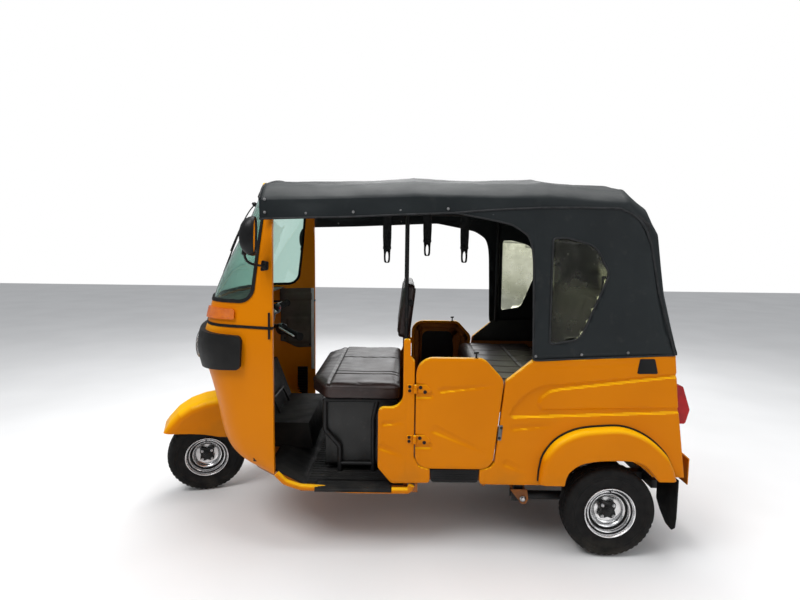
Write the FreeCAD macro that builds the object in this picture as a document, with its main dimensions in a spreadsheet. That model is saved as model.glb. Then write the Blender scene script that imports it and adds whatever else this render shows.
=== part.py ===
import FreeCAD
import Part
import math
import os
import re
import Sketcher
from FreeCAD import Placement, Rotation, Vector

# Auto rickshaw, millimetres and degrees. +Z is up, the nose points to -X and
# the driver's left side is -Y. Stations along X are measured back from the
# front axle; front_axle_x then puts the origin under the middle of the length.
SIZES = [
    # overall layout
    ("front_axle_x", -1100),
    ("wheelbase", 2000),
    ("rear_track", 1144),
    ("body_half", 600),
    ("wall", 30),
    ("press_depth", 5),
    ("channel_depth", 8),
    ("gap", 7),
    ("seat_gap", 0.3),
    # wheels
    ("tyre_radius", 205),
    ("tyre_width", 107),
    ("rim_radius", 117),
    ("rim_width", 84),
    ("rim_wall", 5),
    ("hub_radius", 34),
    ("hub_width", 46),
    ("spindle_radius", 12.5),
    ("spindle_fit", 0.05),
    # steering
    ("steer_turn", 19),
    ("steer_rise", 1.2),
    ("rake", 27),
    ("rake_foot_x", 60),
    ("rake_foot_z", 420),
    ("stem_radius", 16),
    ("stem_fit", 0.05),
    ("head_radius", 27),
    ("head_start", 190),
    ("head_length", 370),
    ("bar_radius", 11),
    ("grip_radius", 17),
    ("grip_length", 120),
    ("bar_half", 290),
    ("fork_side", 114),
    ("fork_radius", 19),
    ("spring_radius", 27),
    ("mudguard_half", 86),
    ("mudguard_skin", 5),
    # cowl and windscreen
    ("cowl_wall", 22),
    ("cowl_bottom", 350),
    ("trim_z", 1000),
    ("trim_height", 12),
    ("cowl_rear_x", 512),
    ("arch_half", 262),
    ("arch_top", 690),
    ("housing_skin", 10),
    ("screen_base_z", 1108),
    ("screen_top_z", 1604),
    ("screen_rear_x", 420),
    ("screen_top_rear_x", 480),
    ("seal_width", 15),
    ("glass_depth", 4),
    ("glass_thick", 5),
    ("nacelle_proud", 25),
    ("nacelle_base_z", 790),
    ("nacelle_top_z", 978),
    ("lamp_radius", 68),
    ("lamp_y", 315),
    ("lamp_z", 884),
    # chassis and floor
    ("rail_y", 300),
    ("rail_width", 50),
    ("rail_base_z", 232),
    ("rail_height", 40),
    ("floor_thick", 28),
    ("floor_z", 300),
    ("floor_half", 585),
    ("toe_z", 355),
    ("step_base_z", 331),
    ("step_z", 381),
    ("deck_z", 640),
    ("arm_y", 450),
    ("arm_z", 205),
    ("floor_front_x", 330),
    ("mat_thick", 5),
    ("sill_radius", 14),
    ("seat_front_x", 1440),
    ("tail_x", 2310),
    # sides
    ("post_front_x", 1082),
    ("post_rear_x", 1130),
    ("post_top_z", 925),
    ("quarter_front_x", 972),
    ("door_top_z", 885),
    ("door_bottom_z", 388),
    ("side_foot_z", 318),
    ("side_tail_z", 362),
    ("notch_x", 1527),
    ("notch_z", 785),
    ("quarter_foot_x", 1478),
    ("hinge_offset", 9),
    ("hinge_pin", 5),
    ("hinge_leaf", 4),
    ("belt_z", 879),
    ("tail_belt_z", 912),
    ("arch_radius", 246),
    ("flare_reach", 50),
    ("shoulder_reach", 150),
    ("bend_reach", 44),
    ("flare_skin", 8),
    # seats
    ("seat_top_z", 728),
    ("seat_pad", 67),
    ("seat_half", 472),
    ("seat_box_z", 352),
    ("bench_top_z", 750),
    ("bench_pad", 95),
    ("bench_half", 560),
    ("partition_top_z", 700),
    ("backrest_tilt", 7),
    ("bench_tilt", 16),
    ("post_rod", 9),
    ("backrest_half", 285),
    ("mirror_foot_y", 578),
    # canopy
    ("roof_crown_z", 1704),
    ("roof_drop", 49),
    ("fold_drop", 129),
    ("canopy_thick", 8),
    ("canopy_front_x", 462),
    ("hoop_radius", 12),
    # tail
    ("lid_half", 330),
    ("lid_base_z", 440),
    ("lid_top_z", 690),
    ("bumper_rear_x", 2417.5),
    ("engine_half", 190),
]
ALIASES = [alias for alias, value in SIZES]
FORWARD = Vector(1, 0, 0)
ACROSS = Vector(0, 1, 0)
UP = Vector(0, 0, 1)

doc = FreeCAD.newDocument("AutoRickshaw")
sheet = doc.addObject("Spreadsheet::Sheet", "sizes")
for row, (alias, value) in enumerate(SIZES, 1):
    sheet.set("A%d" % row, alias)
    sheet.set("B%d" % row, "%g" % value)
    sheet.setAlias("B%d" % row, alias)
doc.recompute()

nodes = []


# Links to the sheet

def linked(formula):
    """The formula with each size's name pointing at its cell."""
    return re.sub(r"[a-z_]+",
                  lambda word: "sizes." + word.group(0) if word.group(0) in ALIASES else word.group(0),
                  str(formula))


def bind(thing, **formulas):
    """Tie a thing's plain properties to the sheet."""
    for name, formula in formulas.items():
        thing.setExpression(name, linked(formula))
    return thing


def at(thing, across="0", height="0", along="0"):
    """Put a thing at a station behind the front axle."""
    thing.setExpression("Placement.Base.x", linked("front_axle_x + " + along))
    thing.setExpression("Placement.Base.y", linked(across))
    thing.setExpression("Placement.Base.z", linked(height))
    return thing


def node(label, thing):
    """Keep a finished sub-part under its own name."""
    thing.Label = label
    nodes.append(thing)
    return thing


# Bodies from sketches

def new_body(name):
    return at(doc.addObject("PartDesign::Body", name))


def outline(owner, role, corners, offset="0"):
    """A closed sketch of straight runs, each corner placed by two formulas."""
    plane = [datum for datum in owner.Origin.OriginFeatures if datum.Role == role][0]
    drawing = owner.newObject("Sketcher::SketchObject", owner.Name + "_outline")
    drawing.AttachmentSupport = [(plane, "")]
    drawing.MapMode = "FlatFace"
    drawing.setExpression("AttachmentOffset.Base.z", linked(offset))
    count = len(corners)
    ring = [Vector(math.cos(2 * math.pi * n / count), math.sin(2 * math.pi * n / count), 0)
            for n in range(count)]
    drawing.addGeometry([Part.LineSegment(ring[n], ring[(n + 1) % count]) for n in range(count)], False)
    drawing.addConstraint([Sketcher.Constraint("Coincident", n, 2, (n + 1) % count, 1)
                           for n in range(count)])
    for n, (first, second) in enumerate(corners):
        for kind, formula, start in (("DistanceX", first, ring[n].x), ("DistanceY", second, ring[n].y)):
            placed = drawing.addConstraint(Sketcher.Constraint(kind, -1, 1, n, 1, start))
            drawing.setExpression("Constraints[%d]" % placed, linked(formula))
    return drawing


def round_corners(owner, base, drawing, corners, radius):
    """Round the edges that the sketch's corners run along."""
    spots = [drawing.Placement.multVec(drawing.Geometry[n].StartPoint) for n in corners]
    normal = drawing.Placement.Rotation.multVec(UP)
    names = []
    for n, edge in enumerate(base.Shape.Edges, 1):
        if len(edge.Vertexes) != 2:
            continue
        first, last = (corner.Point for corner in edge.Vertexes)
        if (last - first).cross(normal).Length > 0.01:
            continue
        if any((first - spot).cross(normal).Length < 0.05 for spot in spots):
            names.append("Edge%d" % n)
    return fillet(owner, base, names, radius)


def fillet(owner, base, names, radius):
    rounded = owner.newObject("PartDesign::Fillet", owner.Name + "_round")
    rounded.Base = (base, names)
    rounded.setExpression("Radius", linked(radius))
    doc.recompute()
    return rounded


def edges_where(base, test):
    """Names of the edges whose middle passes a test."""
    return ["Edge%d" % n for n, edge in enumerate(base.Shape.Edges, 1)
            if test(edge.BoundBox.Center, edge)]


def plate(name, role, corners, length, offset="0", rounds=()):
    """A sketch padded to a plate; rounds pairs corner numbers with a radius."""
    owner = new_body(name)
    drawing = outline(owner, role, corners, offset)
    pad = owner.newObject("PartDesign::Pad", name + "_pad")
    pad.Profile = drawing
    pad.setExpression("Length", linked(length))
    doc.recompute()
    last = pad
    for numbers, radius in rounds:
        last = round_corners(owner, last, drawing, numbers, radius)
    return owner


def turned(name, corners, rounds=()):
    """A sketch of radius and width, spun round the Y axis."""
    owner = new_body(name)
    drawing = outline(owner, "XY_Plane", corners)
    spin = owner.newObject("PartDesign::Revolution", name + "_spin")
    spin.Profile = drawing
    axis = [datum for datum in owner.Origin.OriginFeatures if datum.Role == "Y_Axis"][0]
    spin.ReferenceAxis = (axis, [""])
    spin.Angle = 360
    doc.recompute()
    last = spin
    for numbers, radius in rounds:
        spots = [drawing.Geometry[n].StartPoint for n in numbers]
        names = []
        for n, edge in enumerate(last.Shape.Edges, 1):
            if edge.Curve.TypeId != "Part::GeomCircle":
                continue
            if any(abs(edge.Curve.Radius - abs(spot.x)) < 0.01 and abs(edge.Curve.Center.y - spot.y) < 0.01
                   for spot in spots):
                names.append("Edge%d" % n)
        last = fillet(owner, last, names, radius)
    return owner


# Solids from primitives and booleans

def box(name, length, width, height, along, across, bottom):
    made = doc.addObject("Part::Box", name)
    bind(made, Length=length, Width=width, Height=height)
    return at(made, across, bottom, along)


def rod(name, radius, length, along, across, bottom, turn=Rotation()):
    """A round bar that starts at a point and runs along its turned Z."""
    made = doc.addObject("Part::Cylinder", name)
    bind(made, Radius=radius, Height=length)
    made.Placement.Rotation = turn
    return at(made, across, bottom, along)


def joined(name, *pieces):
    made = doc.addObject("Part::MultiFuse", name)
    made.Shapes = list(pieces)
    return made


def cut(name, base, *tools):
    made = doc.addObject("Part::Cut", name)
    made.Base = base
    made.Tool = tools[0] if len(tools) == 1 else joined(name + "_tools", *tools)
    return made


def shared(name, *pieces):
    made = doc.addObject("Part::MultiCommon", name)
    made.Shapes = list(pieces)
    return made


def grouped(name, *pieces):
    """Pieces that stay apart but ride together."""
    made = doc.addObject("Part::Compound", name)
    made.Links = list(pieces)
    return made


def mirrored(name, source):
    made = doc.addObject("Part::Mirroring", name)
    made.Source = source
    made.Normal = ACROSS
    made.Base = Vector(0, 0, 0)
    return made


def both_sides(label, name, source):
    """One node that holds a left piece and its mirror image."""
    return node(label, grouped(name, source, mirrored(name + "_right", source)))


def left_and_right(label, source):
    """Two nodes, the left one first."""
    node(label + "_left", source)
    node(label + "_right", mirrored(label + "_mirror", source))


def shaped(name, shape, placement=None):
    """A shape worked out from the sheet, placed at its station."""
    made = doc.addObject("Part::Feature", name)
    made.Shape = shape
    made.Placement = placement or Placement(Vector(sheet.front_axle_x, 0, 0), Rotation())
    return made


def tube(points, radius, bend):
    """A round tube along straight runs joined by tangent arcs."""
    spots = [Vector(*point) for point in points]
    runs = []
    start = spots[0]
    for before, corner, after in zip(spots, spots[1:], spots[2:]):
        inward = (before - corner).normalize()
        outward = (after - corner).normalize()
        half = inward.getAngle(outward) / 2
        reach = min(bend / math.tan(half), 0.45 * before.distanceToPoint(corner),
                    0.45 * after.distanceToPoint(corner))
        middle = (inward + outward).normalize()
        first = corner + inward * reach
        last = corner + outward * reach
        depth = reach / math.cos(half) - reach * math.tan(half)
        runs.append(Part.LineSegment(start, first).toShape())
        runs.append(Part.Arc(first, corner + middle * depth, last).toShape())
        start = last
    runs.append(Part.LineSegment(start, spots[-1]).toShape())
    path = Part.Wire(runs)
    ring = Part.Wire(Part.Circle(spots[0], spots[1] - spots[0], radius).toShape())
    return path.makePipeShell([ring], True, True)


# Cowl: the plan outline of the nose changes with height

COWL = [
    # height, nose x, arc end x, arc end y, corner reach, rear y
    (sheet.cowl_bottom, 300, 352, 400, 60, 592),
    (430, 205, 258, 400, 100, 597),
    (560, 155, 215, 400, 110, 599),
    (760, 105, 170, 400, 110, 599),
    (sheet.trim_z, 95, 165, 400, 110, 598),
]
SCREEN = [
    # height, nose x, arc end x, arc end y, corner reach, rear y
    (sheet.trim_z, 95, 165, 400, 110, 598),
    (sheet.screen_base_z, 116, 190, 400, 100, 594),
    (1350, 226, 294, 390, 95, 588),
    (1700, 382, 440, 370, 80, 572),
]


def plan(section, inset, rear_x):
    """Closed wire: nose arc, two corner arcs, two flanks and the rear line."""
    height, nose, end_x, end_y, reach, rear_y = section
    bow = 2 * math.atan2(end_x - nose, end_y)
    tip = Vector(end_x + reach * math.sin(bow), end_y + reach * math.cos(bow), 0)
    to_nose = Vector(-math.sin(bow), -math.cos(bow), 0)
    to_rear = (Vector(sheet.cowl_rear_x, rear_y, 0) - tip).normalize()
    half = to_nose.getAngle(to_rear) / 2
    middle = (to_nose + to_rear).normalize()
    flank_in = Vector(to_rear.y, -to_rear.x, 0)
    arc_end = Vector(end_x, end_y, 0) + Vector(math.cos(bow), -math.sin(bow), 0) * inset
    arc_mid = tip + middle * (reach / math.cos(half) - reach * math.tan(half) + inset)
    flank = tip + to_rear * reach + flank_in * inset
    along = (rear_x - flank.x) / to_rear.x
    rear = flank + to_rear * along
    right = [Vector(spot.x, spot.y, height) for spot in (arc_end, arc_mid, flank, rear)]
    left = [Vector(spot.x, -spot.y, height) for spot in right]
    return Part.Wire([
        Part.Arc(left[0], Vector(nose + inset, 0, height), right[0]).toShape(),
        Part.Arc(right[0], right[1], right[2]).toShape(),
        Part.LineSegment(right[2], right[3]).toShape(),
        Part.LineSegment(right[3], left[3]).toShape(),
        Part.LineSegment(left[3], left[2]).toShape(),
        Part.Arc(left[2], left[1], left[0]).toShape(),
    ])


def nose_solid(name, table, inset, rear_x, ruled=False):
    return shaped(name, Part.makeLoft([plan(section, inset, rear_x) for section in table], True, ruled))


rear_x = sheet.cowl_rear_x
cowl_outer = nose_solid("cowl_outer", COWL, 0, rear_x)
cowl_inner = nose_solid("cowl_inner", COWL, sheet.cowl_wall, rear_x + 60)
arch = plate("arch", "YZ_Plane", [
    ("-arch_half", "0"),
    ("arch_half", "0"),
    ("arch_half", "arch_top"),
    ("-arch_half", "arch_top"),
], "600", "-100", [((2, 3), "150")])
lamp_bores = grouped("lamp_bores", *[
    rod("lamp_bore%d" % n, "lamp_radius + seat_gap", "200", "20", side + "lamp_y", "lamp_z", Rotation(ACROSS, 90))
    for n, side in enumerate(("-", ""))])
nacelle_trim = plate("nacelle_trim", "XZ_Plane", [
    ("-50", "nacelle_base_z"),
    ("362", "nacelle_base_z + 26"),
    ("372", "nacelle_top_z - 12"),
    ("-50", "nacelle_top_z"),
], "1400", "-700", [((1, 2), "24")])
cowl_lower = node("cowl_lower", cut("cowl_lower", cowl_outer, cowl_inner, arch, lamp_bores))
nacelle_outer = nose_solid("nacelle_outer", COWL, -sheet.nacelle_proud, rear_x)
nacelle_block = cut("nacelle_block", nacelle_outer, nose_solid("nacelle_seat", COWL, 0, rear_x), lamp_bores)
node("lamp_nacelle", shared("lamp_nacelle", nacelle_block, nacelle_trim))
node("headlamps", grouped("headlamps", *[
    rod("headlamp%d" % n, "lamp_radius", "95", "98", side + "lamp_y", "lamp_z", Rotation(ACROSS, 90))
    for n, side in enumerate(("-", ""))]))

trim_section = (sheet.trim_z,) + COWL[-1][1:]
trim_outer = Part.Face(plan(trim_section, -3, rear_x)).extrude(UP * sheet.trim_height)
trim_inner = Part.Face(plan(trim_section, sheet.cowl_wall, rear_x + 60)).extrude(UP * sheet.trim_height)
node("trim_band", shaped("trim_band", trim_outer.cut(trim_inner)))


# Canopy: arches over the hoops, one cloth from the front hem down the back

HOOPS = [
    # station, crown drop
    (sheet.canopy_front_x, 20),
    (1118, 0),
    (1679, 0),
    (sheet.wheelbase + 30, 26),
    (sheet.wheelbase + 119, 99),
    (sheet.wheelbase + 172, 190),
    (sheet.wheelbase + 213, 449),
    (sheet.wheelbase + 262, 640),
]
CANOPY_FOOT = 870


def hoop_outline(station, drop, inset, foot):
    """Closed arch across the car: two sides, two shoulder arcs, the roof arc and the foot line."""
    crown = sheet.roof_crown_z - drop - inset
    shoulder = Vector(station, sheet.body_half - sheet.shoulder_reach - 0.4 * inset, crown - sheet.roof_drop)
    bend = Vector(station, sheet.body_half - sheet.bend_reach - 0.8 * inset, crown - sheet.roof_drop - 34)
    side = Vector(station, sheet.body_half - inset, crown - sheet.fold_drop + 0.5 * inset)
    foot_corner = Vector(station, sheet.body_half - inset, foot)
    other = [Vector(spot.x, -spot.y, spot.z) for spot in (shoulder, bend, side, foot_corner)]
    return Part.Wire([
        Part.LineSegment(foot_corner, side).toShape(),
        Part.Arc(side, bend, shoulder).toShape(),
        Part.Arc(shoulder, Vector(station, 0, crown), other[0]).toShape(),
        Part.Arc(other[0], other[1], other[2]).toShape(),
        Part.LineSegment(other[2], other[3]).toShape(),
        Part.LineSegment(other[3], foot_corner).toShape(),
    ])


def canopy_solid(name, inset, reach):
    """Ruled from hoop to hoop, with the end hoops moved out by reach."""
    last = len(HOOPS) - 1
    stations = [(station + (-reach if n == 0 else 0) - (inset if n >= last - 2 else 0), drop)
                for n, (station, drop) in enumerate(HOOPS)]
    wires = [hoop_outline(station, drop, inset, CANOPY_FOOT) for station, drop in stations]
    return shaped(name, Part.makeLoft(wires, True, True))


canopy_outer = canopy_solid("canopy_outer", 0, 0)
canopy_inner = canopy_solid("canopy_inner", sheet.canopy_thick, 40)
canopy_shell = cut("canopy_shell", canopy_outer, canopy_inner)
SEAM = [
    ("1649", "1535"),
    ("wheelbase - 13", "1540"),
    ("wheelbase + 73", "1486"),
    ("wheelbase + 124", "1386"),
    ("wheelbase + 167", "1192"),
    ("wheelbase + 252", "tail_belt_z"),
]
roof_zone = plate("roof_zone", "XZ_Plane", [
    ("400", "1475"),
    ("800", "1486"),
    ("1290", "1510"),
] + SEAM + [
    ("wheelbase + 400", "tail_belt_z"),
    ("wheelbase + 400", "1800"),
    ("400", "1800"),
], "1300", "-650")
roof_half = box("roof_half", "wheelbase + 119 - 400", "1300", "900", "400", "-650", "900")
back_half = box("back_half", "300", "1300", "900", "wheelbase + 119", "-650", "860")
rear_window_hole = plate("rear_window_hole", "YZ_Plane", [
    ("-260", "1010"), ("260", "1010"), ("260", "1300"), ("-260", "1300"),
], "500", "wheelbase + 100", [((0, 1, 2, 3), "60")])
node("canopy_roof", shared("canopy_roof", canopy_shell, roof_zone, roof_half))
canopy_back = shared("canopy_back_skin", canopy_shell, roof_zone, back_half)
node("canopy_back", cut("canopy_back", canopy_back, rear_window_hole))
canopy_pane = cut("canopy_pane", canopy_solid("pane_outer", 2, 0), canopy_solid("pane_inner", 5, 40))
rear_window = shared("rear_window", canopy_pane, rear_window_hole)

canopy_side = plate("canopy_side", "XZ_Plane", [
    ("1290", "1510"),
    ("1421", "1486"),
    ("1540", "1462"),
    ("1632", "1400"),
    ("1641", "belt_z"),
    ("wheelbase + 252", "tail_belt_z"),
    ("wheelbase + 167", "1192"),
    ("wheelbase + 124", "1386"),
    ("wheelbase + 73", "1486"),
    ("wheelbase - 13", "1540"),
    ("1649", "1535"),
], "canopy_thick", "body_half - canopy_thick", [((3,), "60")])
window_hole = plate("window_hole", "XZ_Plane", [
    ("1713", "960"),
    ("1877", "980"),
    ("1945", "1262"),
    ("1892", "1392"),
    ("1713", "1402"),
], "40", "body_half - 25", [((0, 1), "30"), ((2, 3), "60"), ((4,), "30")])
both_sides("canopy_sides", "canopy_sides", cut("canopy_side_cut", canopy_side, window_hole))
side_pane = plate("side_pane", "XZ_Plane", [
    ("1713", "960"),
    ("1877", "980"),
    ("1945", "1262"),
    ("1892", "1392"),
    ("1713", "1402"),
], "2", "body_half - canopy_thick + 3", [((0, 1), "30"), ((2, 3), "60"), ((4,), "30")])
node("canopy_windows", grouped("canopy_windows", side_pane, mirrored("side_pane_right", side_pane), rear_window))


# Windscreen frame under the canopy's front

def arch_prism(name, inset, start, length):
    """The roof's cross-section run along the car."""
    wire = hoop_outline(start, HOOPS[0][1], inset, 900)
    return shaped(name, Part.Face(wire).extrude(FORWARD * length))


def screen_prism(name, inset):
    """Side view of the screen's opening, right through the car."""
    return plate(name, "XZ_Plane", [
        ("-60", "screen_base_z + %g" % inset),
        ("screen_rear_x - %g" % inset, "screen_base_z + %g" % inset),
        ("screen_top_rear_x - %g" % inset, "screen_top_z - %g" % inset),
        ("-60", "screen_top_z - %g" % inset),
    ], "1300", "-650", [((1,), "%g" % (80 - inset)), ((2,), "%g" % (60 - inset))])


seal = sheet.seal_width
under_roof = arch_prism("under_roof", sheet.canopy_thick + sheet.seat_gap, -60, 620)
under_header = arch_prism("under_header", sheet.canopy_thick + sheet.cowl_wall, -60, 720)
above_trim = box("above_trim", "700", "1300", "720", "-80", "-650", "trim_z + trim_height")
upper_outer = shared("upper_outer", nose_solid("screen_outer", SCREEN, 0, rear_x), under_roof, above_trim)
upper_inner = shared("upper_inner", nose_solid("screen_inner", SCREEN, sheet.cowl_wall, rear_x + 60),
                     under_header)
screen_hole = screen_prism("screen_hole", 0)
node("cowl_upper", cut("cowl_upper", upper_outer, upper_inner, screen_hole))
glass_outer = nose_solid("glass_outer", SCREEN, sheet.glass_depth, rear_x)
glass_inner = nose_solid("glass_inner", SCREEN, sheet.glass_depth + sheet.glass_thick, rear_x + 60)
glass_skin = cut("glass_skin", glass_outer, glass_inner)
screen_pane = screen_prism("screen_pane", seal)
node("windscreen", shared("windscreen", glass_skin, screen_pane, under_roof))
seal_skin = cut("seal_skin", nose_solid("seal_outer", SCREEN, -4, rear_x),
                nose_solid("seal_inner", SCREEN, 14, rear_x + 60))
seal_ring = cut("seal_ring", screen_prism("seal_hole", 0), screen_prism("seal_core", seal))
node("windscreen_seal", shared("windscreen_seal", seal_skin, seal_ring))

indicator_zone = plate("indicator_zone", "XZ_Plane", [
    ("150", "1033"), ("333", "1037"), ("333", "1082"), ("150", "1085"),
], "200", "430", [((1, 2), "12")])
indicator = shared("indicator", cut("indicator_skin", nose_solid("indicator_outer", SCREEN, -14, rear_x),
                                    nose_solid("indicator_seat", SCREEN, 0, rear_x)), indicator_zone)
both_sides("indicators", "indicators", indicator)


# Chassis, floor and wheel housing

rails = [box("rail%d" % n, "tail_x - 650", "rail_width", "rail_height", "650", side, "rail_base_z")
         for n, side in enumerate(("-rail_y - rail_width / 2", "rail_y - rail_width / 2"))]
CROSS = [
    # station, half length, underside, height
    ("700", "480", "rail_base_z", "rail_height"),
    ("1180", "rail_y + 40", "rail_base_z + rail_height", "step_base_z - rail_base_z - rail_height"),
    ("1390", "rail_y + 40", "rail_base_z + rail_height", "step_base_z - rail_base_z - rail_height"),
    ("1605", "478", "rail_base_z", "rail_height"),
    ("wheelbase - 120", "rail_y", "rail_base_z", "rail_height"),
    ("wheelbase + 150", "rail_y", "rail_base_z", "rail_height"),
    ("tail_x - 40", "rail_y + 120", "rail_base_z", "rail_height"),
]
crosses = [box("cross%d" % n, "40", "2 * (%s)" % half, height, along, "-(%s)" % half, bottom)
           for n, (along, half, bottom, height) in enumerate(CROSS)]
lugs = [box("lug%d" % n, "60", "6", "rail_base_z - arm_z + 17", "1595", across, "arm_z - 17")
        for n, across in enumerate(("-478", "-428", "422", "472"))]
risers = [box("riser%d" % n, "bumper_rear_x - tail_x + 35", "rail_width", "38", "tail_x - 40",
              side + "rail_y - rail_width / 2", "side_tail_z - 40") for n, side in enumerate(("-", ""))]
riser_feet = [box("riser_foot%d" % n, "40", "rail_width", "side_tail_z - 40 - rail_base_z - rail_height",
                  "tail_x - 40", side + "rail_y - rail_width / 2", "rail_base_z + rail_height")
              for n, side in enumerate(("-", ""))]
node("chassis_frame", joined("chassis_frame", *(rails + crosses + lugs + risers + riser_feet)))

floor_raw = plate("floor_raw", "XZ_Plane", [
    ("floor_front_x", "toe_z"),
    ("530", "toe_z"),
    ("640", "floor_z"),
    ("1138", "floor_z"),
    ("1138", "step_z - 4"),
    ("1150", "step_z - 4"),
    ("1150", "floor_z - floor_thick"),
    ("628", "floor_z - floor_thick"),
    ("518", "toe_z - floor_thick"),
    ("floor_front_x", "toe_z - floor_thick"),
], "2 * floor_half", "-floor_half", [((1, 2), "40")])
floor_limit = shaped("floor_limit", Part.Face(plan(COWL[0], sheet.cowl_wall, 1300))
                     .extrude(UP * 60).fuse(Part.Face(plan(COWL[0], sheet.cowl_wall, 1300))
                                            .extrude(UP * -120)).removeSplitter())
node("floor_pan", shared("floor_pan", floor_raw, floor_limit))
node("floor_mat", box("floor_mat", "437 - seat_gap", "2 * floor_half - 20", "mat_thick", "650", "-floor_half + 10",
                      "floor_z"))
node("passenger_floor", box("passenger_floor", "seat_front_x - 1150", "2 * floor_half", "step_z - step_base_z",
                            "1150", "-floor_half", "step_base_z"))

SILL = [
    # station, height
    (524, 357),
    (562, 318),
    (628, 297),
    (860, 286),
    (1112, 286),
    (1123, 311),
]
sill_y = -(sheet.floor_half + sheet.sill_radius)
sill = shaped("sill", tube([(along, sill_y, height) for along, height in SILL], sheet.sill_radius, 60))
both_sides("sill_rails", "sill_rails", sill)


def housing(name, skin):
    """Wheel housing and tunnel; skin is how far the walls stand outside the hollow."""
    return plate(name, "XZ_Plane", [
        ("40", "toe_z - %g" % (0 if skin else 60)),
        ("530", "toe_z - %g" % (0 if skin else 60)),
        ("640 - housing_skin + %g" % skin, "floor_z - %g" % (0 if skin else 60)),
        ("612 - housing_skin + %g" % skin, "470 + %g" % skin),
        ("412 + %g" % (skin / 2), "470 + %g" % skin),
        ("floor_front_x + %g" % (skin / 2), "arch_top + %g" % skin),
        ("40", "arch_top + %g" % skin),
    ], "2 * arch_half + %g" % (2 * skin), "-arch_half - %g" % skin)


housing_full = housing("housing_full", sheet.housing_skin)
housing_hollow = housing("housing_hollow", 0)
stem_turn = Rotation(ACROSS, sheet.rake)
rake_way = stem_turn.multVec(UP)


def raked(thing, start):
    """Put a thing on the steering axis, its own Z along it."""
    foot = Vector(sheet.front_axle_x + sheet.rake_foot_x, 0, sheet.rake_foot_z)
    thing.Placement = Placement(foot + rake_way * start, stem_turn)
    return thing


head_bore = bind(doc.addObject("Part::Cylinder", "head_bore"), Radius="head_radius", Height="head_length")
raked(head_bore, sheet.head_start)
node("wheel_housing", cut("wheel_housing", shared("housing_part", housing_full, nose_solid(
    "housing_limit", COWL, sheet.cowl_wall + sheet.seat_gap, 700)), housing_hollow, head_bore, cowl_lower))

head_outer = bind(doc.addObject("Part::Cylinder", "head_outer"), Radius="head_radius", Height="head_length")
raked(head_outer, sheet.head_start)
head_inner = bind(doc.addObject("Part::Cylinder", "head_inner"), Radius="stem_radius + stem_fit",
                  Height="head_length")
raked(head_inner, sheet.head_start)
stay_x = sheet.rake_foot_x + (900 - sheet.rake_foot_z) * math.tan(math.radians(sheet.rake))
head_stay = rod("head_stay", "14", "%g" % (stay_x - 117.5), "117.5", "0", "900", Rotation(ACROSS, 90))
node("steering_head", cut("steering_head", joined("head_body", head_outer, head_stay), head_inner))


# Sides: front quarters, doors with their hinges, rear quarters and flares

side_y = "body_half - wall"
front_post = plate("front_post", "XZ_Plane", [
    ("quarter_front_x", "389"),
    ("1032", "side_foot_z"),
    ("post_rear_x", "side_foot_z"),
    ("post_rear_x", "post_top_z"),
    ("post_front_x", "post_top_z"),
    ("post_front_x", "661"),
    ("quarter_front_x", "661"),
], "wall", side_y, [((6,), "12")])

door_foot = ("(quarter_foot_x + (door_bottom_z - side_foot_z) * (notch_x - quarter_foot_x)"
             " / (notch_z - side_foot_z) - gap)")
door_plate = plate("door_plate", "XZ_Plane", [
    ("post_rear_x + gap", "door_bottom_z"),
    (door_foot, "door_bottom_z"),
    ("notch_x - gap", "notch_z + 6"),
    ("1432", "door_top_z"),
    ("post_rear_x + gap", "door_top_z"),
], "wall", side_y, [((0, 1), "60"), ((2, 3), "55"), ((4,), "75")])

door_press = plate("door_press", "XZ_Plane", [
    ("1224", "430"),
    ("1452", "425"),
    ("1474", "640"),
    ("1224", "655"),
], "press_depth", "body_half - press_depth", [((0, 1, 2, 3), "40")])

HINGES = [523, 750]
fixed_leaves = []
door_leaves = []
for height in HINGES:
    name = "hinge%d" % height
    knuckle_at = ("post_rear_x + gap / 2", "-body_half - hinge_offset")
    fixed_leaves.append(joined(
        name + "_fixed",
        box(name + "_plate", "27", "hinge_leaf", "36", "post_rear_x - 33", "-body_half - hinge_leaf",
            "%d - 18" % height),
        box(name + "_bridge", "10", "hinge_leaf", "17", "post_rear_x - 6", "-body_half - hinge_leaf",
            "%d - 18" % height),
        rod(name + "_knuckle", "hinge_pin + 3", "17", knuckle_at[0], knuckle_at[1], "%d - 18" % height),
        rod(name + "_pin", "hinge_pin", "38", knuckle_at[0], knuckle_at[1], "%d - 18" % height)))
    leaf = plate(name + "_leaf", "XZ_Plane", [
        ("post_rear_x + 13", "%d - 18" % height),
        ("post_rear_x + 62", "%d - 18" % height),
        ("post_rear_x + 78", "%d - 8" % height),
        ("post_rear_x + 48", "%d + 18" % height),
        ("post_rear_x + 13", "%d + 18" % height),
    ], "hinge_leaf", "body_half", [((2,), "8")])
    door_leaves.append(cut(
        name + "_moving",
        joined(name + "_strap", leaf,
               box(name + "_reach", "11", "hinge_leaf", "17", "post_rear_x + 3", "-body_half - hinge_leaf",
                   "%d + 1" % height),
               rod(name + "_eye", "hinge_pin + 3", "17", knuckle_at[0], knuckle_at[1], "%d + 1" % height)),
        rod(name + "_bore", "hinge_pin + spindle_fit", "60", knuckle_at[0], knuckle_at[1], "%d - 25" % height)))
both_sides("front_quarters", "front_quarters", joined("front_quarter", front_post, *fixed_leaves))
left_and_right("door", joined("door", cut("door_skin", door_plate, door_press), *door_leaves))

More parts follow.
